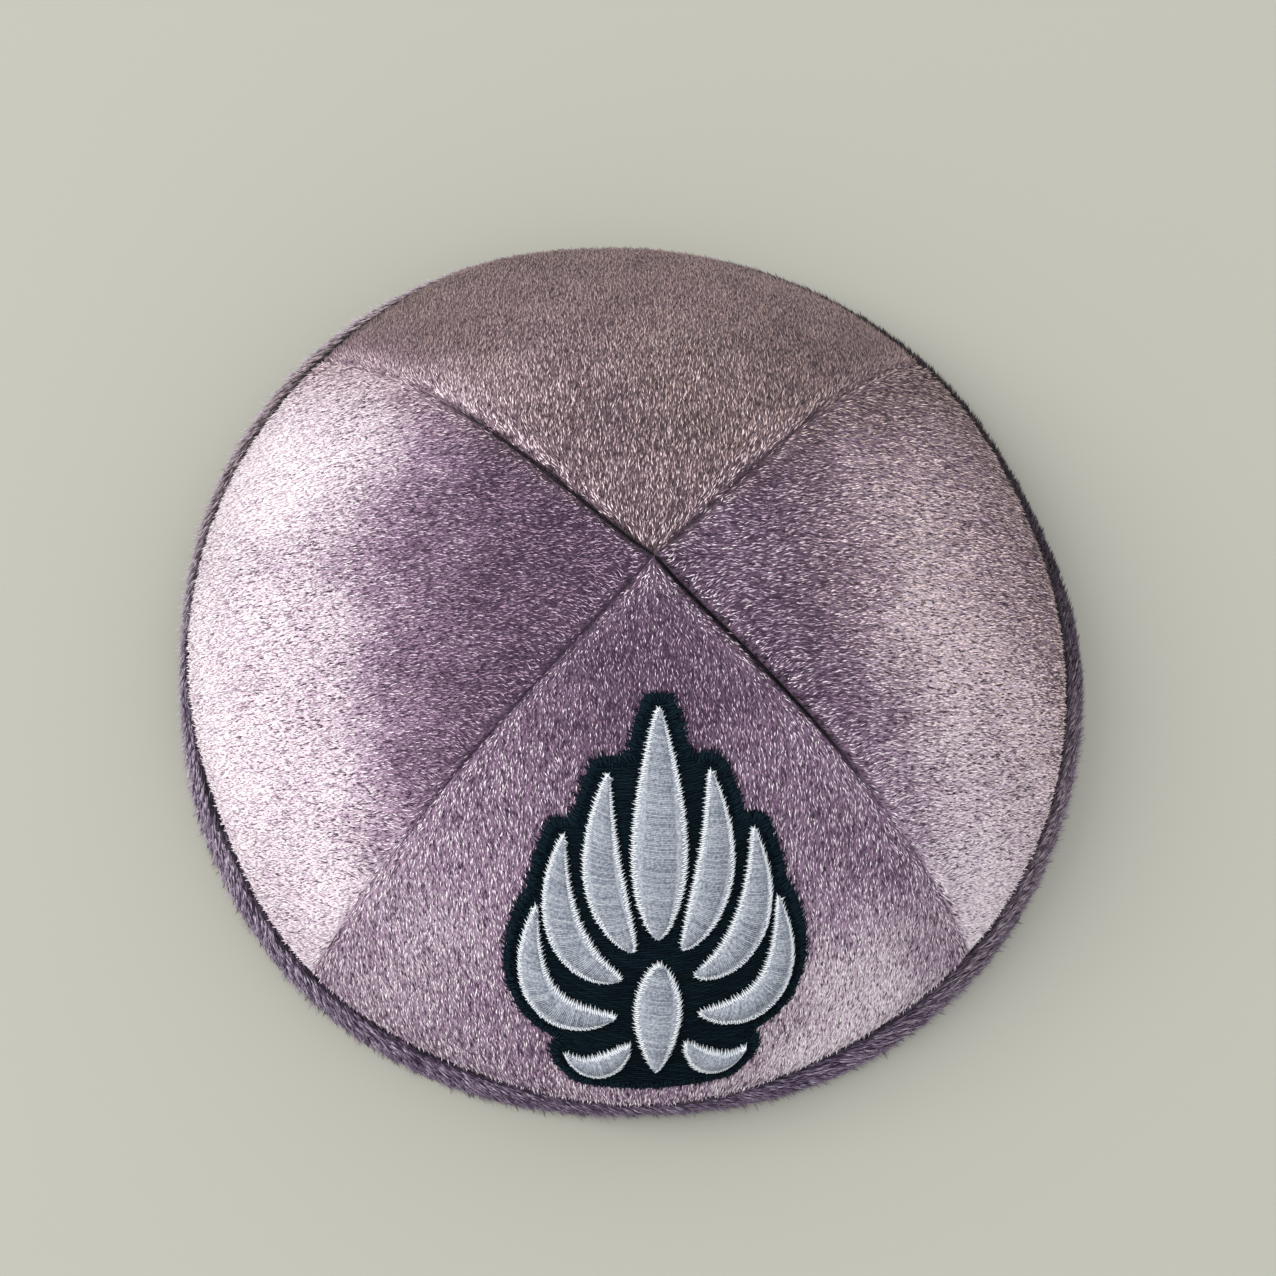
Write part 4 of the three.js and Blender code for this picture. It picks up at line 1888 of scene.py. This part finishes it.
@dataclass
class RimBinding:
    """The darker velvet strip that is folded round the cap's edge."""

    form: CapForm
    velvet: Material
    skin: float = 0.0014
    channel_inner: float = 0.0033
    lining: float = 0.001
    roundness: float = 0.0009
    sole: float = 0.0016
    bulge: float = 0.00035
    steps: int = 180
    turn_points: int = 5
    wall_points: int = 5
    nap_height: float = 0.0115
    outer_tone: float = 0.35
    inner_tone: float = 0.2
    # Painted shade of the binding's cloth under its hairs.
    cloth_painted_light: float = 0.25
    bake_span: tuple[float, float] = (0.01, 0.48)
    seed: int = 31
    light: RimLight = RimLight()
    coat: BindingCoat = BindingCoat()
    fuzz: BindingFuzz = BindingFuzz()

    def outer_section(self) -> Array:
        """The outer leg, from the sole round to the channel's mouth, as inset and height.

        Returns:
            The section's points, in order.
        """
        high, round_off = self.form.binding_height, self.roundness
        turn = np.linspace(0, math.pi / 2, self.turn_points)
        early, late = round_off * (1 - np.sin(turn)), round_off * (1 - np.cos(turn))
        wall_high = np.linspace(round_off, high - round_off, self.wall_points + 2)[1:-1]
        swell = np.sin((wall_high - round_off) / (high - 2 * round_off) * math.pi)
        legs = ((early, late), (-self.bulge * swell, wall_high), (late, high - early))
        return np.concatenate([np.stack(leg, axis=1) for leg in legs])

    def inner_section(self) -> Array:
        """The channel and the inner leg, back to the sole, as inset and height.

        Returns:
            The section's points, in order.
        """
        high, back = self.form.binding_height, self.channel_inner + self.lining
        return np.array([
            [self.skin, high],
            [self.skin, self.sole],
            [self.channel_inner, self.sole],
            [self.channel_inner, high],
            [back, high - self.roundness],
            [back, self.roundness],
            [back - self.roundness / 3, self.roundness / 3],
            [back - self.roundness, 0.0],
        ])

    def cloth(self, parts: MeshParts) -> None:
        """Add the folded strip itself, closed round the rim and round its section.

        Args:
            parts: The mesh that it joins.
        """
        outer = self.outer_section()
        section = np.concatenate([outer, self.inner_section()])
        count = len(section)
        ring, column = np.arange(self.steps)[:, None], np.arange(count)[None, :]
        angle = ring / self.steps * 2 * math.pi
        after, beside = (ring + 1) % self.steps, (column + 1) % count
        corners = ((ring, column), (after, column), (after, beside), (ring, beside))
        faces = np.stack([turn * count + place for turn, place in corners], axis=-1).reshape(-1, 4)
        share = np.linspace(*self.bake_span, count)[None, :]
        bake = np.stack(np.broadcast_arrays(ring / self.steps, share), axis=-1)
        nap = np.stack(np.broadcast_arrays(section[None, :, 1], angle * self.form.rim_radius), axis=-1)
        tone = np.where(np.arange(count) < len(outer), self.outer_tone, self.inner_tone)
        # tip carries the painted shade under the binding's hairs.
        parts.add(
            self.form.rim_point(angle, section[None, :, 0], section[None, :, 1]).reshape(-1, 3), faces,
            nap=nap.reshape(-1, 2), bake=bake.reshape(-1, 2), tone=np.tile(tone, self.steps),
            tip=self.cloth_painted_light,
        )

    def build(self) -> None:
        """Make the binding's one mesh and dress it."""
        parts = MeshParts(("tone", "warm", "tip"))
        rng = np.random.default_rng(self.seed)
        self.cloth(parts)
        self.grow_coat(parts, rng)
        self.grow_fuzz(parts, rng)
        finish_piece(parts.build("velvet_binding", (self.velvet,)), ["rim_binding"])

    def on_skin(self, angle: Array, along: Array) -> tuple[Array, Array, Array, Array]:
        """Places on the outer leg, by the length of its section up from the sole.

        Args:
            angle: Angles round the rim.
            along: Lengths up the section, as a share of all of it.

        Returns:
            The points, the outward normals, the directions along the rim and those up the
            section.
        """
        section = self.outer_section()
        reached = reached_along(section)
        shares = reached / reached[-1]
        turn_step, share_step = 1e-3, 0.02

        def point(turn: Array, share: Array) -> Array:
            """The point at an angle and a share of the section."""
            inset, height = (np.interp(share, shares, section[:, axis]) for axis in (0, 1))
            return self.form.rim_point(turn, inset, height)

        ahead = unit(point(angle + turn_step, along) - point(angle - turn_step, along))
        higher, lower = np.minimum(along + share_step, 1), np.maximum(along - share_step, 0)
        upward = unit(point(angle, higher) - point(angle, lower))
        return point(angle, along), unit(np.cross(ahead, upward)), ahead, upward

    def bed(self, angle: Array, along: Array, rise: Array | float, **looks: Array) -> PileBed:
        """Hairs' places on the outer leg, heading along the rim with a rise up the section.

        Args:
            angle: Angles round the rim.
            along: Lengths up the section, as a share of all of it.
            rise: How far each hair rises, for one length along the rim.
            **looks: The hairs' tone, warm and shade.

        Returns:
            The bed.
        """
        roots, normals, ahead, upward = self.on_skin(angle, along)
        places = np.stack([along * self.nap_height, angle * self.form.rim_radius], axis=1)
        return PileBed(roots, normals, unit(ahead + rise * upward), places, **looks)

    def grow_coat(self, parts: MeshParts, rng: Chance) -> None:
        """Add the long hairs.

        Args:
            parts: The mesh that they join.
            rng: The source of chance.
        """
        coat = self.coat
        angle = rng.uniform(0, 2 * math.pi, coat.total)
        along = (np.arange(coat.total) + rng.uniform(0, 1, coat.total)) / coat.total
        sides = self.light.sides(angle)
        chance = Cloud(rng).at(angle * coat.lay_cells[0], along * coat.lay_cells[1])
        rise = coat.lay.at(sides) * chance - coat.lay_down
        turns = angle * self.form.rim_radius / coat.twist_period + coat.twist_slant * along
        # Painted light and shade: paler where sunlit, deeper on the far side, at the top and in the band
        # below the panels.
        tone = coat.tone.at(sides) - coat.top_shade_tone * coat.top.at(along)
        shade_from = coat.shade_from.at(sides)
        dark = smooth_step(along, shade_from, shade_from + coat.shade_length)
        beside = coat.brown_beside * np.maximum(sides.far, sides.right)
        bed = self.bed(
            angle, along, rise[:, None],
            tone=tone + coat.twist_tone.at(sides) * np.sin(2 * math.pi * turns),
            warm=np.maximum(beside, coat.brown_behind * sides.behind),
            shade=(1 - coat.dark_shade * dark) * (1 - coat.far_shade * sides.far),
        )
        pile = Pile(
            length=coat.length.at(sides), width=coat.width, lift_deg=coat.lift_deg.at(sides),
            unruly_deg=coat.unruly_deg, tuft_length=coat.tuft_length, contrast=coat.contrast.at(sides),
        )
        pile.grow(parts, bed, rng)

    def grow_fuzz(self, parts: MeshParts, rng: Chance) -> None:
        """Add the few fine hairs.

        Args:
            parts: The mesh that they join.
            rng: The source of chance.
        """
        fuzz = self.fuzz
        angle = rng.uniform(0, 2 * math.pi, fuzz.total)
        along = rng.uniform(*fuzz.along, fuzz.total)
        # Painted shade on the far side and painted light where sunlit.
        far = self.light.at_back(angle) * self.light.far_right.at(np.cos(angle))
        bed = self.bed(
            angle, along, -fuzz.lay_down, tone=fuzz.tone + fuzz.tone_sunlit * self.light.in_sun(angle),
            shade=1 - fuzz.far_shade * far,
        )
        pile = Pile(
            length=fuzz.length * (1 - fuzz.shorter_far * far), width=fuzz.width, lift_deg=fuzz.lift_deg,
            unruly_deg=fuzz.unruly_deg, contrast=fuzz.contrast,
        )
        pile.grow(parts, bed, rng, fuzz.bake_from)


@dataclass(frozen=True)
class StitchKind:
    """One kind of stitch: its thread, how far apart, and its least and greatest paleness."""

    thread: Thread
    pitch: float
    strand: tuple[float, float]


def edge_places(edge: Array, pitch: float, near: float) -> tuple[Array, Array, Array]:
    """Even places along an edge.

    Args:
        edge: The edge's points, from its start to its end.
        pitch: How far apart the places lie.
        near: How far to each side of a place its heading is measured.

    Returns:
        The places, the edge's headings there, and the directions to its right.
    """
    reached = reached_along(edge)
    place = np.arange(0, reached[-1], pitch)

    def point(there: Array) -> Array:
        """The edge's points at lengths along it."""
        return np.stack([np.interp(there, reached, edge[:, axis]) for axis in (0, 1)], axis=1)

    heading = unit(point(place + near) - point(place - near))
    return point(place), heading, np.stack([heading[:, 1], -heading[:, 0]], axis=1)


@dataclass
class Embroidery:
    """The palmette: a dark stitched ground with satin leaves on it.

    The fill's and the border's lifts, and each reach, inner and slant, are in millimetres.
    The satin's and the piping's lifts are shares of the padding.
    """

    motif: Motif
    dark: Material
    silver: Material
    ground_grid: tuple[int, int] = (90, 21)
    leaf_grid: tuple[int, int] = (25, 9)
    leaf_inset: float = 0.93
    leaf_filling: float = 0.7
    plate_strand: float = 0.3
    bake_along: tuple[float, float] = (0.02, 0.98)
    bake_beside: tuple[float, float] = (0.01, 0.09)
    bake_under: tuple[float, float] = (0.0, 0.1)
    ground_sink: float = 0.15 * MM
    leaf_sink: float = 0.1 * MM
    fill: StitchKind = StitchKind(Thread(0.5 * MM, 0.3 * MM, sides=3), 0.45 * MM, (0.0, 0.8))
    border: StitchKind = StitchKind(Thread(0.34 * MM, 0.28 * MM, sides=4), 0.29 * MM, (0.0, 1.0))
    satin: StitchKind = StitchKind(Thread(0.34 * MM, 0.24 * MM), 0.29 * MM, (0.12, 0.36))
    piping: StitchKind = StitchKind(Thread(0.27 * MM, 0.24 * MM, sides=4), 0.38 * MM, (0.85, 1.25))
    fill_stitch: float = 3.6 * MM
    fill_shortest: float = 0.5 * MM
    fill_courses: int = 3
    fill_lifts: tuple[float, ...] = (-0.18, 0.0, 0.0, -0.18)
    border_near: float = 1.0 * MM
    border_reach: tuple[float, float] = (-0.15, 1.15)
    border_inner: tuple[float, float] = (1.2, 2.0)
    border_slant: tuple[float, float] = (-0.5, 0.5)
    border_lifts: tuple[float, ...] = (-0.75, 0.0, 0.22, 0.0)
    satin_steps: int = 199
    satin_margin: float = 0.35 * MM
    satin_slant: float = 0.5 * MM
    satin_flat: float = 0.45
    satin_full_length: float = 8 * MM
    satin_lifts: tuple[float, ...] = (0.0, 0.75, 1.0, 0.75, 0.0)
    piping_near: float = 0.4 * MM
    piping_longer: tuple[float, float] = (0.4, 1.0)
    piping_reach: tuple[float, float, float] = (0.05, 0.4, 0.15)
    piping_inner: tuple[float, float, float] = (0.6, 0.6, 0.5)
    piping_slant: tuple[float, float] = (-0.1, 0.4)
    piping_lifts: tuple[float, ...] = (0.05, 0.85, 1.0, 0.85)
    seed: int = 53

    def plate(self, parts: MeshParts, x: Array, y: Array, low: Array, high: Array) -> None:
        """Add a closed plate between two lifts over a grid of places.

        Args:
            parts: The mesh that the plate joins.
            x: The places across the motif, by row and column.
            y: The places up it.
            low: The lift of its underside.
            high: The lift of its top.
        """
        rows, columns = x.shape
        top, _ = self.motif.over(x, y, high)
        bottom, _ = self.motif.over(x, y, low)
        points = np.concatenate([top.reshape(-1, 3), bottom.reshape(-1, 3)])
        upper = grid_faces(rows, columns)
        lower = upper[:, ::-1] + rows * columns
        edge = np.concatenate([
            np.arange(columns), np.arange(1, rows) * columns + columns - 1,
            (rows - 1) * columns + np.arange(columns - 2, -1, -1), np.arange(rows - 2, 0, -1) * columns,
        ])
        after = np.roll(edge, -1)
        rim = np.stack([after, edge, edge + rows * columns, after + rows * columns], axis=-1)
        sides = np.linspace(*self.bake_along, rows), np.linspace(*self.bake_beside, columns)
        span = np.stack(np.meshgrid(*sides, indexing="ij"), axis=-1).reshape(-1, 2)
        bake = np.concatenate([span, span + self.bake_under])
        parts.add(points, np.concatenate([upper, lower, rim]), bake=bake, strand=self.plate_strand)

    def stitch(
        self, parts: MeshParts, kind: StitchKind, start: Array, end: Array, lifts: Array, rng: Chance
    ) -> None:
        """Sew stitches from start to end over the cloth.

        Args:
            parts: The mesh that they join.
            kind: The kind of stitch.
            start: Their starts in the motif's plan.
            end: Their ends.
            lifts: The lift at each place along a stitch.
            rng: The source of chance.
        """
        share = np.linspace(0, 1, lifts.shape[-1])[None, :, None]
        plan = start[:, None, :] * (1 - share) + end[:, None, :] * share
        lifts = np.broadcast_to(lifts, plan.shape[:2])
        points, normals = self.motif.over(plan[..., 0], plan[..., 1], lifts)
        kind.thread.sew(parts, points, normals, rng.uniform(*kind.strand, len(start)))

    def build_ground(self) -> None:
        """Make the dark ground: its plate, its fill and its ragged border."""
        motif = self.motif
        rng = np.random.default_rng(self.seed)
        rows, columns = self.ground_grid
        levels = np.linspace(*motif.ground_ends(), rows)
        half = motif.ground_half_width(levels)
        top = motif.gap + motif.ground_pad
        x, y = np.broadcast_arrays(half[:, None] * np.linspace(-1, 1, columns), levels[:, None])
        low, high = (np.full(x.shape, lift) for lift in (motif.gap / 3, top - self.ground_sink))
        parts = MeshParts(("strand",))
        self.plate(parts, x, y, low, high)
        self.fill_ground(parts, rng, top)
        self.border_ground(parts, rng, levels, half, top)
        finish_piece(parts.build("stitched_ground", (self.dark,)), ["embroidery_ground"])

    def fill_ground(self, parts: MeshParts, rng: Chance, top: float) -> None:
        """Add the fill: rows of stitches across the ground, bonded like bricks.

        Args:
            parts: The mesh that they join.
            rng: The source of chance.
            top: The lift of the ground's top.
        """
        low, high = self.motif.ground_ends()
        pitch, stitch = self.fill.pitch, self.fill_stitch
        starts, ends = [], []
        rows = np.arange(low + pitch, high - pitch, pitch)
        for number, (y, half) in enumerate(zip(rows, self.motif.ground_half_width(rows))):
            cuts = np.arange(-half - stitch * (number % self.fill_courses) / self.fill_courses, half, stitch)
            left, right = np.maximum(cuts, -half), np.minimum(cuts + stitch, half)
            long = right - left > self.fill_shortest
            for places, x in ((starts, left), (ends, right)):
                places.append(np.stack([x[long], np.full(long.sum(), y)], axis=1))
        lifts = top + np.array(self.fill_lifts) * MM
        self.stitch(parts, self.fill, np.concatenate(starts), np.concatenate(ends), lifts, rng)

    def border_ground(self, parts: MeshParts, rng: Chance, levels: Array, half: Array, top: float) -> None:
        """Add the border: short stitches square to the edge, some longer than others.

        Args:
            parts: The mesh that they join.
            rng: The source of chance.
            levels: Heights up the motif.
            half: Half the ground's width at each.
            top: The lift of the ground's top.
        """
        right, left = (np.stack([side * half, levels], axis=1) for side in (1, -1))
        edge = np.concatenate([right, left[::-1], right[:1]])
        at, heading, out = edge_places(edge, self.border.pitch, self.border_near)
        reach, inner, slant = (
            rng.uniform(least, most, len(at))[:, None] * MM
            for least, most in (self.border_reach, self.border_inner, self.border_slant)
        )
        lifts = top + np.array(self.border_lifts) * MM
        start, end = at + out * reach + heading * slant, at - out * inner
        self.stitch(parts, self.border, start, end, lifts, rng)

    def build_leaf(self, row: LeafRow, side: int) -> None:
        """Make one leaf: its padding, its satin fill and its paler edge.

        Args:
            row: The leaf.
            side: 1 for the right one of a pair, -1 for the left one.
        """
        motif = self.motif
        name = row.name if not row.paired else f"{row.name}_{'right' if side > 0 else 'left'}"
        rng = np.random.default_rng(self.seed + sum(map(ord, name)))
        rows, columns = self.leaf_grid
        across = np.linspace(1, -1, columns)[None, :] * self.leaf_inset * side
        share, offset = np.broadcast_arrays(np.linspace(0, 1, rows)[:, None], across)
        plan = motif.leaf(row, side, share, offset)
        floor = motif.gap + motif.ground_pad
        crown = motif.leaf_crown * (1 - offset**2) * np.sin(math.pi * share)
        top = floor + motif.gap + self.leaf_filling * motif.leaf_pad + crown
        parts = MeshParts(("strand",))
        self.plate(parts, plan[..., 0], plan[..., 1], np.full(share.shape, floor - self.leaf_sink), top)
        self.fill_leaf(parts, rng, row, side)
        self.edge_leaf(parts, rng, motif.leaf_outline(row, side))
        finish_piece(parts.build(f"satin_{name}", (self.silver,)), [f"leaf_{name}"])

    def fill_leaf(self, parts: MeshParts, rng: Chance, row: LeafRow, side: int) -> None:
        """Add the satin fill: threads that cross the leaf from edge to edge, a little slanted.

        Args:
            parts: The mesh that they join.
            rng: The source of chance.
            row: The leaf.
            side: 1 for the right one of a pair, -1 for the left one.
        """
        motif, margin = self.motif, self.satin_margin
        share = np.linspace(0, 1, self.satin_steps + 1)
        reached = reached_along(motif.leaf(row, side, share, np.zeros_like(share)))
        place = np.arange(margin, reached[-1] - margin, self.satin.pitch)
        slant = self.satin_slant
        start, end = (
            motif.leaf(row, side, np.interp(place + edge * slant, reached, share), edge + 0 * place)
            for edge in (-1, 1)
        )
        length = np.linalg.norm(end - start, axis=1)
        shape = np.array(self.satin_lifts)
        floor = motif.gap + motif.ground_pad + self.leaf_sink
        fullness = np.minimum(1.0, self.satin_flat + length / self.satin_full_length)[:, None]
        lifts = floor + (motif.gap + motif.leaf_pad + motif.leaf_crown) * shape * fullness
        self.stitch(parts, self.satin, start, end, lifts, rng)

    def edge_leaf(self, parts: MeshParts, rng: Chance, outline: Array) -> None:
        """Add the paler edge: short stitches in and out over the leaf's outline.

        Args:
            parts: The mesh that they join.
            rng: The source of chance.
            outline: The leaf's edge, up one side and down the other.
        """
        motif = self.motif
        edge = np.concatenate([outline, outline[:1]])
        at, heading, out = edge_places(edge, self.piping.pitch, self.piping_near)
        after = np.roll(outline, -1, axis=0)
        out = out * np.sign(np.sum(outline[:, 0] * after[:, 1] - outline[:, 1] * after[:, 0]))

        def chance(least: float, most: float) -> Array:
            """A value of its own for each stitch."""
            return rng.uniform(least, most, (len(at), 1))

        longer = (np.arange(len(at)) % 2)[:, None] * chance(*self.piping_longer)
        reach, inner = (
            (least + more * longer + chance(0, spread)) * MM
            for least, more, spread in (self.piping_reach, self.piping_inner)
        )
        slant = heading * chance(*self.piping_slant) * MM
        rise = np.array(self.piping_lifts) * (motif.gap + motif.leaf_pad)
        lifts = motif.gap + motif.ground_pad + rise
        self.stitch(parts, self.piping, at + out * reach - slant, at - out * inner + slant, lifts, rng)

    def build(self) -> None:
        """Make the ground and every leaf."""
        self.build_ground()
        for row, side in self.motif.leaves():
            self.build_leaf(row, side)


@dataclass(frozen=True)
class Studio:
    """The camera at the photograph's angle, soft light and a pale floor."""

    form: CapForm
    camera_from_apex: Place = (-0.03785, -0.173, 0.52994)
    tilt_deg: Place = (18.557, -3.973, -0.776)
    lens_mm: float = 84.7
    sensor_mm: float = 36.0
    floor_half: float = 8.0
    sky_color: tuple[float, float, float, float] = (0.95, 0.97, 1.0, 1.0)
    sky_strength: float = 2.1
    lamp_place: Place = (-1.6, 0.25, 1.5)
    lamp_aim: Place = (0.0, 0.0, 0.02)
    lamp_size: float = 1.3
    lamp_power: float = 54.0
    lamp_color: Color = (1.0, 0.98, 0.96)

    def camera(self) -> None:
        """Place the camera and make it the scene's."""
        data = bpy.data.cameras.new("photo_camera")
        data.lens = self.lens_mm
        data.sensor_width = self.sensor_mm
        camera = bpy.data.objects.new("photo_camera", data)
        camera.rotation_mode = "ZYX"
        camera.rotation_euler = tuple(math.radians(turn) for turn in self.tilt_deg)
        x, y, z = self.camera_from_apex
        camera.location = (self.form.apex[0] + x, self.form.apex[1] + y, z)
        bpy.context.scene.collection.objects.link(camera)
        bpy.context.scene.camera = camera

    def lamp(self) -> None:
        """Hang the large soft lamp, facing the cap."""
        data = bpy.data.lights.new("key", "AREA")
        data.shape = "DISK"
        data.size = self.lamp_size
        data.energy = self.lamp_power
        data.color = self.lamp_color
        lamp = bpy.data.objects.new("key", data)
        lamp.location = self.lamp_place
        x, y, z = np.array(self.lamp_aim) - np.array(self.lamp_place)
        lamp.rotation_mode = "XYZ"
        lamp.rotation_euler = (math.atan2(math.hypot(x, y), -z), 0.0, math.atan2(y, x) - math.pi / 2)
        bpy.context.scene.collection.objects.link(lamp)

    def floor(self) -> None:
        """Lay the floor at the cap's foot."""
        corners = np.array([[-1, -1, 0], [1, -1, 0], [1, 1, 0], [-1, 1, 0]]) * self.floor_half
        parts = MeshParts()
        parts.add(corners, np.array([[0, 1, 2, 3]]))
        parts.build("pale_floor", (FloorFinish().material(),))

    def sky(self) -> None:
        """Fill the room with soft light."""
        world = bpy.data.worlds.new("soft_room")
        world.use_nodes = True
        background = world.node_tree.nodes["Background"]
        background.inputs["Color"].default_value = self.sky_color
        background.inputs["Strength"].default_value = self.sky_strength
        bpy.context.scene.world = world

    def build(self) -> None:
        """Set the whole studio up."""
        bpy.context.scene.view_settings.view_transform = "Standard"
        self.sky()
        self.camera()
        self.lamp()
        self.floor()


VELVET = VelvetFinish(
    "mauve_velvet", deep=(0.045, 0.022, 0.047), mid=(0.36, 0.235, 0.345), pale=(0.76, 0.685, 0.715)
)
BINDING_VELVET = VelvetFinish(
    "violet_grey_velvet", deep=(0.032, 0.022, 0.042), mid=(0.165, 0.112, 0.185), pale=(0.46, 0.385, 0.47),
    brown_deep=(0.022, 0.016, 0.016), brown_mid=(0.12, 0.088, 0.088), brown_pale=(0.4, 0.32, 0.33),
)
DARK_THREAD = ThreadFinish(
    "blue_black_thread",
    dark=(0.001, 0.003, 0.005),
    light=(0.003, 0.009, 0.013),
    roughness=0.6,
    gloss=0.03,
)
SILVER_THREAD = ThreadFinish(
    "silver_thread", dark=(0.06, 0.072, 0.1), light=(0.42, 0.44, 0.45), roughness=0.38, gloss=0.4
)


def crown_apex() -> tuple[float, float]:
    """Where the panels meet, from the highest vertex of each panel's solid.

    Returns:
        The place, as x and y.
    """
    tops = []
    for facing in Facing:
        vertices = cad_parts[facing.panel_node].data.vertices
        points = np.empty(len(vertices) * 3)
        vertices.foreach_get("co", points)
        points = points.reshape(-1, 3)
        tops.append(points[points[:, 2].argmax(), :2])
    return tuple(float(part) for part in np.mean(tops, axis=0))


def main() -> None:
    """Build the cap, its finishes and the studio, in order."""
    logging.basicConfig(level=logging.INFO, format="%(name)s: %(message)s")
    form = CapForm(apex=crown_apex())
    log.info("apex at %.4f, %.4f", *form.apex)
    Studio(form).build()
    motif = Motif(form)
    velvet, backing = VELVET.material(), BackingFinish().material()
    for facing in Facing:
        CrownPanel(form, facing, motif, velvet, backing).build()
    RimBinding(form, BINDING_VELVET.material()).build()
    Embroidery(motif, DARK_THREAD.material(), SILVER_THREAD.material()).build()


if __name__ == "__main__":
    main()
